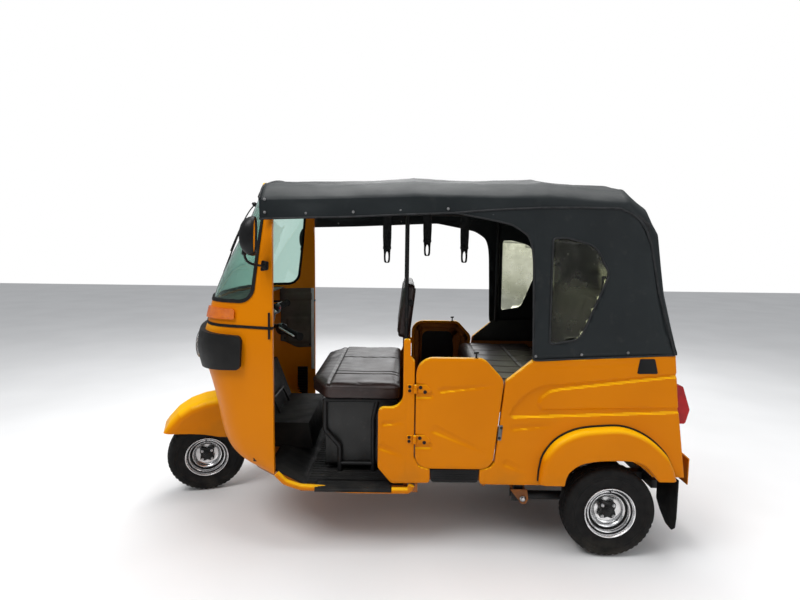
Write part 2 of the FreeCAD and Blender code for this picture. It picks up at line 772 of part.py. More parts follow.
quarter_raw = plate("quarter_raw", "XZ_Plane", [
    ("quarter_foot_x", "side_foot_z"),
    ("wheelbase", "side_foot_z"),
    ("wheelbase", "side_tail_z"),
    ("wheelbase + 330", "side_tail_z"),
    ("wheelbase + 279", "715"),
    ("wheelbase + 258", "tail_belt_z"),
    ("wheelbase + 254", "tail_belt_z"),
    ("1641", "belt_z"),
    ("notch_x", "notch_z"),
], "wall", side_y, [((8,), "30")])
channel = plate("channel", "XZ_Plane", [
    ("2310", "653"),
    ("1541", "619"),
    ("1541", "642"),
    ("1690", "776"),
    ("2310", "839"),
    ("2310", "817"),
    ("1752", "748"),
    ("1674", "667"),
    ("2310", "685"),
], "channel_depth", "body_half - channel_depth", [((1, 2), "10"), ((3, 6), "40"), ((7,), "14")])
vent_slot = plate("vent_slot", "XZ_Plane", [
    ("2104", "894"), ("2168", "895"), ("2185", "829"), ("2094", "828"),
], "press_depth", "body_half - press_depth", [((0, 1, 2, 3), "3")])
arch_bore = rod("arch_bore", "arch_radius", "300", "wheelbase", "-body_half + 60", "tyre_radius",
                Rotation(FORWARD, 90))

flare_block = plate("flare_block", "XZ_Plane", [
    ("wheelbase - 319", "side_foot_z + 14"),
    ("wheelbase - 290", "440"),
    ("wheelbase - 215", "530"),
    ("wheelbase - 110", "580"),
    ("wheelbase + 40", "580"),
    ("wheelbase + 180", "510"),
    ("wheelbase + 255", "425"),
    ("wheelbase + 285", "side_tail_z"),
    ("wheelbase", "side_foot_z + 14"),
], "flare_reach", "body_half", [((1, 2, 3, 4, 5, 6), "60")])
flare_hollow = plate("flare_hollow", "XZ_Plane", [
    ("wheelbase - 317 + flare_skin", "side_foot_z - 40"),
    ("wheelbase - 283 + flare_skin", "440 - flare_skin / 2"),
    ("wheelbase - 209 + flare_skin / 2", "528 - flare_skin"),
    ("wheelbase - 108", "580 - flare_skin"),
    ("wheelbase + 38", "580 - flare_skin"),
    ("wheelbase + 176 - flare_skin / 2", "508 - flare_skin"),
    ("wheelbase + 248 - flare_skin", "423 - flare_skin / 2"),
    ("wheelbase + 281 - flare_skin", "side_foot_z - 40"),
], "flare_reach - flare_skin", "body_half", [((1, 2, 3, 4, 5, 6), "50")])
both_sides("fender_flares", "fender_flares", cut("fender_flare", flare_block, flare_hollow, arch_bore))

house_outer = rod("house_outer", "arch_radius + 6", "86", "wheelbase", "-body_half + wall + 86", "tyre_radius",
                  Rotation(FORWARD, 90))
house_inner = rod("house_inner", "arch_radius", "80", "wheelbase", "-body_half + wall + 80", "tyre_radius",
                  Rotation(FORWARD, 90))
house_open = box("house_open", "600", "200", "500", "wheelbase - 300", "-body_half", "side_tail_z - 500")
both_sides("rear_quarters", "rear_quarters", joined(
    "rear_quarter", cut("quarter_skin", quarter_raw, arch_bore, channel, vent_slot),
    cut("wheel_house", house_outer, house_inner, house_open)))


# Tail: rear panel, lid, lamps, bumper, mud flaps

TAIL = [
    # station behind the rear axle on the outside, height
    ("wheelbase + 258", "tail_belt_z"),
    ("wheelbase + 279", "715"),
    ("wheelbase + 330", "side_tail_z"),
]
tail_skin = plate("tail_skin", "XZ_Plane", TAIL + [
    ("wheelbase + 330 - wall", "side_tail_z"),
    ("wheelbase + 279 - wall", "715"),
    ("wheelbase + 258 - wall", "tail_belt_z"),
], "2 * body_half - 2 * wall", "-body_half + wall")
lid_hole = plate("lid_hole", "YZ_Plane", [
    ("-lid_half", "lid_base_z"), ("lid_half", "lid_base_z"), ("lid_half", "lid_top_z"), ("-lid_half", "lid_top_z"),
], "300", "wheelbase + 150", [((0, 1), "30")])
lid_zone = plate("lid_zone", "YZ_Plane", [
    ("-lid_half + gap", "lid_base_z + gap"),
    ("lid_half - gap", "lid_base_z + gap"),
    ("lid_half - gap", "lid_top_z - gap"),
    ("-lid_half + gap", "lid_top_z - gap"),
], "300", "wheelbase + 150", [((0, 1), "24")])
lid_posts = []
lid_straps = []
for n, across in enumerate((-220, 220)):
    base = "lid_hinge%d" % n
    axis_at = ("wheelbase + 283.1 + hinge_offset", "lid_top_z - gap / 2")
    lid_posts.append(joined(
        base + "_post",
        plate(base + "_ear", "XZ_Plane", [
            ("wheelbase + 282.61", "lid_top_z"),
            ("wheelbase + 279.43", "lid_top_z + 22"),
            ("wheelbase + 284", "lid_top_z + 22"),
            ("wheelbase + 296", "lid_top_z"),
        ], "21", "%d" % (-across - 22)),
        rod(base + "_knuckle", "hinge_pin + 3", "21", axis_at[0], "%d + 22" % across, axis_at[1],
            Rotation(FORWARD, 90)),
        rod(base + "_pin", "hinge_pin", "44", axis_at[0], "%d + 22" % across, axis_at[1],
            Rotation(FORWARD, 90))))
    lid_straps.append(cut(
        base + "_moving",
        joined(base + "_strap",
               plate(base + "_leaf", "XZ_Plane", [
                   ("wheelbase + 283.62", "lid_top_z - gap"),
                   ("wheelbase + 287.66", "lid_top_z - gap - 28"),
                   ("wheelbase + 292", "lid_top_z - gap - 28"),
                   ("wheelbase + 297", "lid_top_z - gap"),
               ], "21", "%d" % -across),
               rod(base + "_eye", "hinge_pin + 3", "21", axis_at[0], "%d" % across, axis_at[1],
                   Rotation(FORWARD, 90))),
        rod(base + "_bore", "hinge_pin + spindle_fit", "70", axis_at[0], "%d + 35" % across, axis_at[1],
            Rotation(FORWARD, 90))))
node("rear_panel", joined("rear_panel", cut("rear_panel_skin", tail_skin, lid_hole), *lid_posts))
plate_bores = [rod("plate_bore%d" % n, "3.5", "90", "wheelbase + 240", across, "585", Rotation(ACROSS, 90))
               for n, across in enumerate(("-70", "70"))]
node("engine_lid", cut("engine_lid", joined("lid_body", shared("lid_skin", tail_skin, lid_zone), *lid_straps),
                       *plate_bores))
plate_blank = plate("plate_blank", "XZ_Plane", [
    ("wheelbase + 295.9", "600"),
    ("wheelbase + 310.3", "500"),
    ("wheelbase + 312.3", "500"),
    ("wheelbase + 297.9", "600"),
], "200", "-100")
node("number_plate", cut("number_plate", plate_blank, *plate_bores))

both_sides("tail_lamps", "tail_lamps", plate("tail_lamp", "XZ_Plane", [
    ("wheelbase + 273.4", "771"),
    ("wheelbase + 318", "766"),
    ("wheelbase + 354", "660"),
    ("wheelbase + 338", "595"),
    ("wheelbase + 296.7", "595"),
    ("wheelbase + 279.4", "715"),
], "90", "470", [((1, 2, 3), "12")]))
node("rear_bumper", plate("rear_bumper", "XZ_Plane", [
    ("bumper_rear_x - 46", "430"),
    ("bumper_rear_x - 42", "434"),
    ("bumper_rear_x", "398"),
    ("bumper_rear_x", "273"),
    ("bumper_rear_x - 5", "273"),
    ("bumper_rear_x - 5", "395"),
], "940", "-470"))
both_sides("mud_flaps", "mud_flaps", plate("mud_flap", "YZ_Plane", [
    ("-628", "side_tail_z - seat_gap"),
    ("-628", "150"),
    ("-600", "120"),
    ("-430", "150"),
    ("-430", "side_tail_z - seat_gap"),
], "6", "wheelbase + 287"))


# Engine, drive and rear suspension

node("engine_block", joined(
    "engine_block",
    box("engine_upper", "330", "2 * engine_half", "290", "wheelbase - 140", "-engine_half",
        "rail_base_z + rail_height"),
    box("gearbox", "220", "2 * engine_half", "rail_base_z + rail_height - 160", "wheelbase - 75",
        "-engine_half", "160")))
drive_shaft = rod("drive_shaft", "14", "arm_y - 25 - engine_half", "wheelbase", "-engine_half", "tyre_radius",
                  Rotation(FORWARD, 90))
arm_bar = rod("arm_bar", "20", "wheelbase - 1625", "1625", "-arm_y", "arm_z", Rotation(ACROSS, 90))
arm_hub = rod("arm_hub", "42", "50", "wheelbase", "-arm_y + 25", "tyre_radius", Rotation(FORWARD, 90))
arm_spindle = rod("arm_spindle", "spindle_radius", "rear_track / 2 + 26 - arm_y", "wheelbase", "-arm_y",
                  "tyre_radius", Rotation(FORWARD, 90))
arm_eye = rod("arm_eye", "16", "44", "1625", "-arm_y + 22", "arm_z", Rotation(FORWARD, 90))
both_sides("trailing_arms", "trailing_arms", joined("trailing_arm", arm_bar, arm_hub, arm_spindle, arm_eye, drive_shaft))
both_sides("rear_shocks", "rear_shocks", rod("rear_shock", "26", "deck_z - arm_z - 20", "1860", "-arm_y",
                                             "arm_z + 20"))


# Wheels, drawn at their own axle with the outer face to -Y

RIM = [
    # radius, width
    ("rim_radius", "-rim_width / 2"),
    ("rim_radius", "-rim_width / 2 + rim_wall"),
    ("rim_radius - 13", "-rim_width / 2 + rim_wall + 2"),
    ("rim_radius - 17", "-14"),
    ("rim_radius - 29", "-10"),
    ("rim_radius - 29", "10"),
    ("rim_radius - 17", "14"),
    ("rim_radius - 13", "rim_width / 2 - rim_wall - 2"),
    ("rim_radius", "rim_width / 2 - rim_wall"),
    ("rim_radius", "rim_width / 2"),
    ("rim_radius - 17", "rim_width / 2 - 2"),
    ("rim_radius - 22", "18"),
    ("rim_radius - 34", "12"),
    ("rim_radius - 36", "-2"),
    ("hub_radius + 22", "-14"),
    ("hub_radius", "-2"),
    ("hub_radius", "hub_width / 2"),
    ("spindle_radius + spindle_fit", "hub_width / 2"),
    ("spindle_radius + spindle_fit", "-hub_width / 2"),
    ("hub_radius", "-hub_width / 2"),
    ("hub_radius", "-8"),
    ("hub_radius + 22", "-20"),
    ("rim_radius - 36", "-8"),
    ("rim_radius - 34", "-12"),
    ("rim_radius - 22", "-18"),
    ("rim_radius - 17", "-rim_width / 2 + 2"),
]
TYRE = [
    # radius, width
    ("rim_radius - 12", "-rim_width / 2 + rim_wall + 2.4"),
    ("rim_radius + 0.4", "-rim_width / 2 + rim_wall + 0.4"),
    ("rim_radius + 1", "-rim_width / 2 - 2"),
    ("rim_radius + 24", "-tyre_width / 2"),
    ("tyre_radius - 22", "-tyre_width / 2 + 1"),
    ("tyre_radius", "-tyre_width / 2 + 18"),
    ("tyre_radius", "tyre_width / 2 - 18"),
    ("tyre_radius - 22", "tyre_width / 2 - 1"),
    ("rim_radius + 24", "tyre_width / 2"),
    ("rim_radius + 1", "rim_width / 2 + 2"),
    ("rim_radius + 0.4", "rim_width / 2 - rim_wall - 0.4"),
    ("rim_radius - 12", "rim_width / 2 - rim_wall - 2.4"),
]


def wheel(name):
    rim = turned(name + "_rim", RIM)
    tyre = turned(name + "_tyre", TYRE, [((3, 4, 5, 6, 7, 8), "12")])
    return rim, tyre


rear_wheel = wheel("rear")
for piece in rear_wheel:
    at(piece, "-rear_track / 2", "tyre_radius", "wheelbase")
left_and_right("rear_rim", rear_wheel[0])
left_and_right("rear_tyre", rear_wheel[1])

# Steering: fork, front wheel, mudguard and handlebar turn together

rake_foot = Vector(sheet.rake_foot_x, 0, sheet.rake_foot_z)
steer = Placement(Vector(sheet.front_axle_x, 0, 0), Rotation()).multiply(
    Placement(Vector(0, 0, 0), Rotation(rake_way, sheet.steer_turn), rake_foot))


def steered(thing, own=Placement()):
    """Turn a piece that was drawn straight ahead to the steering's parked angle."""
    for axis in "xyz":
        thing.setExpression("Placement.Base." + axis, None)
    thing.Placement = steer.multiply(own)
    return thing


hub_z = sheet.tyre_radius + sheet.steer_rise
front_rim, front_tyre = wheel("front")
for label, piece in (("front_rim", front_rim), ("front_tyre", front_tyre)):
    node(label, steered(piece, Placement(Vector(0, 0, hub_z), Rotation())))


def axis_point(start):
    return rake_foot + rake_way * start


side = sheet.fork_side
crown = Part.makeBox(60, side + 50, 20, Vector(-30, -31, sheet.head_start - 24))
crown.Placement = Placement(rake_foot, stem_turn)
stem = Part.makeCylinder(sheet.stem_radius, sheet.head_length + 32, axis_point(sheet.head_start - 10), rake_way)
leg_top = axis_point(sheet.head_start - 14) + ACROSS * side
pivot = Vector(-100, side, 170)
hub = Vector(0, side, hub_z)
leg = tube([tuple(leg_top), tuple(pivot)], sheet.fork_radius, 10)
link = tube([tuple(pivot), tuple(hub)], 14, 10)
pivot_eye = Part.makeCylinder(22, 44, pivot - ACROSS * 22, ACROSS)
hub_eye = Part.makeCylinder(24, 44, hub - ACROSS * 22, ACROSS)
axle = Part.makeCylinder(sheet.spindle_radius, side + 26, Vector(0, -26, hub_z), ACROSS)
guard_z = 556
guard_stud = Part.makeCylinder(14, 30, Vector(112, 0, guard_z), UP)
shock_foot = Vector(30, side, hub_z + 22)
shock_head = axis_point(sheet.head_start - 24) + ACROSS * side + FORWARD * 26
shock_way = (shock_head - shock_foot).normalize()
shock_run = shock_head.distanceToPoint(shock_foot)
damper = Part.makeCylinder(8, shock_run - 4, shock_foot, shock_way)
spring = Part.makeCylinder(sheet.spring_radius, shock_run - 110, shock_foot + shock_way * 50, shock_way)
fork = crown.multiFuse([stem, leg, link, pivot_eye, hub_eye, axle, guard_stud, damper, spring])
node("front_fork", steered(shaped("front_fork", fork.removeSplitter())))


def guard(name, skin, foot):
    """Side view of the beak over the front wheel; skin is how much smaller it is drawn."""
    body = plate(name, "XZ_Plane", [
        ("-208 + %g" % (2 * skin), "384 - %g" % foot),
        ("-178 + %g" % (2 * skin), "432 - %g" % skin),
        ("-130 + %g" % skin, "484 - %g" % skin),
        ("-66 + %g" % (skin / 2), "524 - %g" % skin),
        ("10", "548 - %g" % skin),
        ("80", "%g - %g" % (guard_z, skin)),
        ("132 + %g" % (10 * skin), "%g - %g" % (guard_z, skin)),
        ("132 + %g" % (10 * skin), "330 - %g" % foot),
        ("69", "339 - %g" % foot),
        ("-3", "360 - %g" % foot),
        ("-80", "373 - %g" % foot),
    ], "2 * mudguard_half - %g" % (2 * skin), "-mudguard_half + %g" % skin)
    pad = body.Tip
    names = edges_where(pad, lambda middle, edge: edge.BoundBox.YLength < 1 and edge.BoundBox.XLength > 20
                        and middle.z > 420 - foot)
    fillet(body, pad, names, "%g" % (45 - skin))
    return body


guard_outer = steered(guard("guard_outer", 0, 0))
guard_inner = steered(guard("guard_inner", sheet.mudguard_skin, 40))
node("front_mudguard", cut("front_mudguard", guard_outer, guard_inner))

top = axis_point(sheet.head_start + sheet.head_length + 36)
BAR = [
    # station behind the axis, side, height over the clamp
    (0, 0, 0),
    (10, 70, 8),
    (60, 170, 14),
    (150, 330, 10),
]
right_bar = [(top.x + back, side_at, top.z + lift) for back, side_at, lift in BAR]
left_bar = [(along, -side_at, height) for along, side_at, height in right_bar]
grip_way = (Vector(*right_bar[3]) - Vector(*right_bar[2])).normalize()
handle = tube(right_bar, sheet.bar_radius, 60).fuse(tube(left_bar, sheet.bar_radius, 60))
for sign in (-1, 1):
    way = Vector(grip_way.x, sign * grip_way.y, grip_way.z)
    end = Vector(right_bar[3][0], sign * right_bar[3][1], right_bar[3][2])
    handle = handle.fuse(Part.makeCylinder(sheet.grip_radius, sheet.grip_length,
                                           end - way * sheet.grip_length, way))
clamp_start = sheet.head_start + sheet.head_length + 6
clamp = Part.makeCylinder(26, 40, axis_point(clamp_start), rake_way)
clamp = clamp.cut(Part.makeCylinder(sheet.stem_radius, 16.3, axis_point(clamp_start), rake_way))
node("handlebar", steered(shaped("handlebar", clamp.fuse(handle).removeSplitter())))


# Seats

cushion = plate("seat_pad", "XY_Plane", [
    ("636", "-310"),
    ("716", "-seat_half"),
    ("1075", "-seat_half"),
    ("1075", "seat_half"),
    ("716", "seat_half"),
    ("636", "310"),
], "seat_pad", "seat_top_z - seat_pad", [((0, 1, 4, 5), "40"), ((2, 3), "20")])
fillet(cushion, cushion.Tip, edges_where(
    cushion.Tip, lambda middle, edge: edge.BoundBox.ZLength < 0.1 and middle.z > sheet.seat_top_z - 1), "18")
node("driver_cushion", cushion)
seat_shell = box("seat_shell", "310", "2 * seat_half - 100", "seat_top_z - seat_pad - seat_box_z", "735",
                 "-seat_half + 50", "seat_box_z")
seat_void = box("seat_void", "290", "2 * seat_half - 120", "seat_top_z - seat_pad - seat_box_z - 10", "745",
                "-seat_half + 60", "seat_box_z - 10")
node("seat_box", cut("seat_box", seat_shell, seat_void))
frame_y = sheet.seat_half - 35
top_tube_z = sheet.seat_top_z - sheet.seat_pad - sheet.seat_gap - 11
low_tube_z = sheet.seat_box_z - sheet.seat_gap - 10
leg_foot_z = sheet.floor_z + sheet.mat_thick
LEGS = [
    # points of one leg: station, height
    ((786, leg_foot_z), (786, 425), (716, 505), (716, top_tube_z)),
    ((943, leg_foot_z), (943, 560), (962, top_tube_z)),
]
seat_tubes = []
for sign in (-1, 1):
    for points in LEGS:
        seat_tubes.append(tube([(along, sign * frame_y, height) for along, height in points], 11, 30))
    seat_tubes.append(tube([(786, sign * frame_y, low_tube_z), (943, sign * frame_y, low_tube_z)], 10, 30))
    seat_tubes.append(tube([(716, sign * frame_y, top_tube_z), (1050, sign * frame_y, top_tube_z)], 11, 30))
for along in (786, 943):
    seat_tubes.append(tube([(along, -frame_y, low_tube_z), (along, frame_y, low_tube_z)], 10, 30))
node("seat_frame", shaped("seat_frame", seat_tubes[0].multiFuse(seat_tubes[1:])))

node("partition", box("partition", "16", "2 * body_half - 2 * wall", "partition_top_z - floor_z", "1087",
                      "-body_half + wall", "floor_z"))
backrest = plate("backrest_pad", "YZ_Plane", [
    ("-backrest_half", "0"), ("backrest_half", "0"), ("backrest_half", "280"), ("-backrest_half", "280"),
], "56", "0", [((0, 1, 2, 3), "35")])
at(backrest, "0", "914", "1050")
backrest.Placement.Rotation = Rotation(ACROSS, sheet.backrest_tilt)
node("driver_backrest", backrest)
rods = [rod("backrest_rod%d" % n, "post_rod", "roof_crown_z - 50 - partition_top_z", "1094", across, "partition_top_z")
        for n, across in enumerate(("-backrest_half - post_rod - seat_gap", "backrest_half + post_rod + seat_gap"))]

node("bench_base", plate("bench_base", "XZ_Plane", [
    ("seat_front_x", "floor_z"),
    ("seat_front_x + 14", "floor_z"),
    ("seat_front_x + 14", "deck_z"),
    ("wheelbase + 228", "deck_z"),
    ("wheelbase + 228", "deck_z + 14"),
    ("seat_front_x", "deck_z + 14"),
], "2 * body_half - 2 * wall", "-body_half + wall"))
bench = plate("bench_pad", "XZ_Plane", [
    ("seat_front_x - 12", "deck_z + 14 + seat_gap"),
    ("wheelbase - 110", "deck_z + 14 + seat_gap"),
    ("wheelbase - 110", "bench_top_z"),
    ("seat_front_x - 12", "bench_top_z"),
], "2 * bench_half", "-bench_half", [((3,), "38"), ((2,), "20")])
node("bench_cushion", bench)
bench_back = plate("bench_back_pad", "YZ_Plane", [
    ("-bench_half", "0"), ("bench_half", "0"), ("bench_half", "530"), ("-bench_half", "530"),
], "90", "0", [((2, 3), "60")])
at(bench_back, "0", "deck_z + 14 + 90 * sin(bench_tilt) + seat_gap", "wheelbase - 108")
bench_back.Placement.Rotation = Rotation(ACROSS, sheet.bench_tilt)
node("bench_back", bench_back)


# Roof frame and grab straps

hoop_inset = sheet.canopy_thick + sheet.seat_gap + sheet.hoop_radius
fold_z = hoop_outline(0, 0, hoop_inset, 900).Edges[0].Vertexes[1].Z
HOOP_FEET = [
    # station, crown drop, foot height
    (1118, 0, fold_z - sheet.hoop_radius),
    (1679, 0, 882),
    (sheet.wheelbase + 32, 31, 901.1),
    (sheet.wheelbase + 112, 100, 905.3),
]
SIDE_RAIL = [
    # station, crown drop
    (sheet.cowl_rear_x + 0.5, 19),
    (1118, 0),
    (1679, 0),
    (sheet.wheelbase + 32, 31),
    (sheet.wheelbase + 112, 100),
]
STRAP_RAIL = [
    # station, drop under the crown
    (sheet.cowl_rear_x + 0.3, 63),
    (1118, 45),
    (1679, 43),
]
strap_y = 300
frame_tubes = []
for station, drop, foot in HOOP_FEET:
    right_leg, right_bend, roof_arc, left_bend, left_leg = hoop_outline(station, drop, hoop_inset, foot).Edges[:5]
    spots = [right_leg.valueAt(right_leg.FirstParameter)]
    for arc, parts in ((right_bend, 5), (roof_arc, 8), (left_bend, 5)):
        spots += arc.discretize(parts)[:-1]
    spots += [left_leg.valueAt(left_leg.FirstParameter), left_leg.valueAt(left_leg.LastParameter)]
    frame_tubes.append(tube(spots, sheet.hoop_radius, 300))
for sign in (-1, 1):
    frame_tubes.append(tube([(along, sign * (sheet.body_half - hoop_inset), fold_z - drop)
                             for along, drop in SIDE_RAIL], sheet.hoop_radius, 60))
    frame_tubes.append(tube([(along, sign * strap_y, sheet.roof_crown_z - drop) for along, drop in STRAP_RAIL],
                            sheet.hoop_radius, 400))
roof_tubes = shaped("roof_tubes", frame_tubes[0].multiFuse(frame_tubes[1:]))
node("roof_frame", joined("roof_frame", roof_tubes, *rods))

STRAPS = [
    # station, lower end, the rail's drop under the crown there
    (980, 1263, 49.5),
    (1215, 1306, 44.9),
    (1433, 1269, 44),
]
straps = []
for along, bottom, hang in STRAPS:
    name = "strap%d" % along
    band = plate(name, "XZ_Plane", [
        ("%d - 12" % along, "%d" % bottom),
        ("%d + 12" % along, "%d" % bottom),
        ("%d + 12" % along, "roof_crown_z - %g - hoop_radius" % hang),
        ("%d - 12" % along, "roof_crown_z - %g - hoop_radius" % hang),
    ], "4", "-%d" % (strap_y + 2), [((0, 1), "11")])
    slot = plate(name + "_slot", "XZ_Plane", [
        ("%d - 6" % along, "%d" % (bottom + 6)),
        ("%d + 6" % along, "%d" % (bottom + 6)),
        ("%d + 6" % along, "%d" % (bottom + 60)),
        ("%d - 6" % along, "%d" % (bottom + 60)),
    ], "20", "-%d" % (strap_y + 10))
    straps.append(cut(name + "_cut", band, slot))
node("grab_straps", grouped("grab_straps", *straps))


# Mirrors and the shelf under the windscreen

stalk = tube([(478, -sheet.mirror_foot_y, 1276), (440, -620, 1276), (414, -652, 1300), (414, -664, 1330)], 6, 20)
stalk_foot = Part.makeCylinder(14, 20, Vector(478, -sheet.mirror_foot_y, 1276), ACROSS * -1)
mirror_arm = shaped("mirror_arm", stalk.fuse(stalk_foot))
mirror_head = plate("mirror_head", "YZ_Plane", [
    ("-722", "1322"), ("-612", "1322"), ("-612", "1478"), ("-722", "1478"),
], "46", "394", [((0, 1, 2, 3), "38")])
both_sides("mirrors", "mirrors", cut("mirror", joined("mirror_whole", mirror_arm, mirror_head),
                                     nose_solid("mirror_seat", SCREEN, -sheet.seat_gap, rear_x)))
shelf_zone = box("shelf_zone", "500", "1300", "5", "60", "-650", "screen_base_z - 15")
node("dash_shelf", shared("dash_shelf", nose_solid("shelf_limit", SCREEN, sheet.cowl_wall + sheet.seat_gap, 330),
                          shelf_zone))


# Checks and files

doc.recompute()
for thing in doc.Objects:
    if any(word in thing.State for word in ("Invalid", "Error")):
        raise RuntimeError("not built: " + thing.Name)
for piece in nodes:
    if piece.Shape.isNull() or not piece.Shape.isValid():
        raise RuntimeError("bad shape: " + piece.Label)
os.makedirs("parts", exist_ok=True)
for piece in nodes:
    piece.Shape.exportStep("parts/%s.step" % piece.Label)
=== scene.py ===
import math
import bmesh
import bpy
from mathutils import Matrix, Vector


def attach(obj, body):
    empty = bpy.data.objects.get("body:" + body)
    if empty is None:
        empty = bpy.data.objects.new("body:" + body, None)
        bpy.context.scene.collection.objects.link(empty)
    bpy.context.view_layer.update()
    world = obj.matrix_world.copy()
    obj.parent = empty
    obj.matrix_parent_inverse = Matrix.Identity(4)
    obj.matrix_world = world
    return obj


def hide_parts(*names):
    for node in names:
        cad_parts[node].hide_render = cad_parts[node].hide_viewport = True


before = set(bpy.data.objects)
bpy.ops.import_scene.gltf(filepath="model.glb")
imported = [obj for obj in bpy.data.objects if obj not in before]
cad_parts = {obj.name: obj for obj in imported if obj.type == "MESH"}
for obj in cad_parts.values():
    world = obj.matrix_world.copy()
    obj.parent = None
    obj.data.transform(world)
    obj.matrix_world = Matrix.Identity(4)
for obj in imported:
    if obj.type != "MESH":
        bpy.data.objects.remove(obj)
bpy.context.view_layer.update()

# Stations are millimetres behind the front axle, as the body was laid out.
FRONT_AXLE = -1.1
LEFT, RIGHT = -1, 1


def spot(station, across, height):
    return Vector((FRONT_AXLE + station / 1000, across / 1000, height / 1000))


def station_of(point):
    return (point.x - FRONT_AXLE) * 1000


# Camera


def aim_camera():
    yaw, pitch, roll = math.radians(-0.13), math.radians(5.89), math.radians(0.72)
    ahead = Vector((math.sin(yaw) * math.cos(pitch), math.cos(yaw) * math.cos(pitch), -math.sin(pitch)))
    level = Vector((math.cos(yaw), -math.sin(yaw), 0))
    upright = level.cross(ahead)
    side = level * math.cos(roll) + upright * math.sin(roll)
    top = upright * math.cos(roll) - level * math.sin(roll)
    lens = bpy.data.cameras.new("street_view")
    lens.lens = 24.836
    lens.sensor_width = 36
    lens.clip_end = 100
    eye = bpy.data.objects.new("street_view", lens)
    bpy.context.scene.collection.objects.link(eye)
    turn = Matrix((side, top, -ahead)).transposed()
    eye.matrix_world = Matrix.Translation(spot(1067, -2953, 1380)) @ turn.to_4x4()
    bpy.context.scene.camera = eye


aim_camera()


# Finishes


class Finish:
    """A node material that is put together a layer at a time."""

    def __init__(self, name, roughness=0.5, metallic=0.0, coat=0.0, coat_roughness=0.1, specular=0.5,
                 transmission=0.0, ior=1.45):
        self.material = bpy.data.materials.new(name)
        self.material.use_nodes = True
        self.tree = self.material.node_tree
        self.shader = self.tree.nodes["Principled BSDF"]
        self.place = self.add("ShaderNodeTexCoord").outputs["Object"]
        self.height = None
        for socket, value in (("Roughness", roughness), ("Metallic", metallic), ("Coat Weight", coat),
                              ("Coat Roughness", coat_roughness), ("Specular IOR Level", specular),
                              ("Transmission Weight", transmission), ("IOR", ior)):
            self.shader.inputs[socket].default_value = value

    def add(self, kind, **values):
        made = self.tree.nodes.new(kind)
        for key, value in values.items():
            setattr(made, key, value)
        return made

    def link(self, out, into):
        self.tree.links.new(out, into)

    def stretched(self, scale):
        mapping = self.add("ShaderNodeMapping")
        mapping.inputs["Scale"].default_value = scale
        self.link(self.place, mapping.inputs["Vector"])
        return mapping.outputs["Vector"]

    def cloud(self, scale, detail=4.0, stretch=None):
        noise = self.add("ShaderNodeTexNoise")
        noise.inputs["Scale"].default_value = scale
        noise.inputs["Detail"].default_value = detail
        self.link(self.stretched(stretch) if stretch else self.place, noise.inputs["Vector"])
        return noise.outputs["Fac"]

    def cells(self, scale):
        pebble = self.add("ShaderNodeTexVoronoi")
        pebble.inputs["Scale"].default_value = scale
        self.link(self.place, pebble.inputs["Vector"])
        return pebble.outputs["Distance"]

    def ribs(self, scale, along="X"):
        wave = self.add("ShaderNodeTexWave", bands_direction=along)
        wave.inputs["Scale"].default_value = scale
        self.link(self.place, wave.inputs["Vector"])
        return wave.outputs["Fac"]

    def between(self, out, low, high, first, last):
        """The value carried from low..high to first..last, held at both ends."""
        spread = self.add("ShaderNodeMapRange")
        for socket, value in zip(("From Min", "From Max", "To Min", "To Max"), (low, high, first, last)):
            spread.inputs[socket].default_value = value
        self.link(out, spread.inputs["Value"])
        return spread.outputs["Result"]

    def tint(self, dark, light, out, low=0.35, high=0.65):
        """Base colour between two tints, by a pattern."""
        ramp = self.add("ShaderNodeValToRGB")
        ramp.color_ramp.elements[0].position = low
        ramp.color_ramp.elements[1].position = high
        ramp.color_ramp.elements[0].color = (*dark, 1)
        ramp.color_ramp.elements[1].color = (*light, 1)
        self.link(out, ramp.inputs["Fac"])
        self.colour = ramp.outputs["Color"]
        self.link(self.colour, self.shader.inputs["Base Color"])
        return self

    def lay_dirt_and_light(self, colour, out):
        """Lay a colour over the base colour where a pattern is high: dirt and wear, and on some finishes painted light.
        """
        mix = self.add("ShaderNodeMix", data_type="RGBA")
        mix.inputs[7].default_value = (*colour, 1)
        self.link(self.colour, mix.inputs[6])
        self.link(out, mix.inputs[0])
        self.colour = mix.outputs[2]
        self.link(self.colour, self.shader.inputs["Base Color"])
        return self

    def low_down(self, bottom, top):
        """1 at the height bottom, 0 from the height top."""
        split = self.add("ShaderNodeSeparateXYZ")
        self.link(self.place, split.inputs["Vector"])
        return self.between(split.outputs["Z"], bottom, top, 1, 0)

    def painted_top_light(self, low, high):
        """1 where a surface faces the sky; used to paint light onto tops."""
        split = self.add("ShaderNodeSeparateXYZ")
        self.link(self.add("ShaderNodeNewGeometry").outputs["Normal"], split.inputs["Vector"])
        return self.between(split.outputs["Z"], low, high, 0, 1)

    def times(self, first, second):
        maths = self.add("ShaderNodeMath", operation="MULTIPLY")
        self.link(first, maths.inputs[0])
        self.link(second, maths.inputs[1])
        return maths.outputs["Value"]

    def sheen_spots(self, out, first, last):
        """Roughness that follows a pattern."""
        self.link(self.between(out, 0.3, 0.7, first, last), self.shader.inputs["Roughness"])
        return self

    def relief(self, out, strength, distance=0.001):
        bump = self.add("ShaderNodeBump")
        bump.inputs["Strength"].default_value = strength
        bump.inputs["Distance"].default_value = distance
        self.link(out, bump.inputs["Height"])
        if self.height:
            self.link(self.height, bump.inputs["Normal"])
        self.height = bump.outputs["Normal"]
        self.link(self.height, self.shader.inputs["Normal"])
        return self


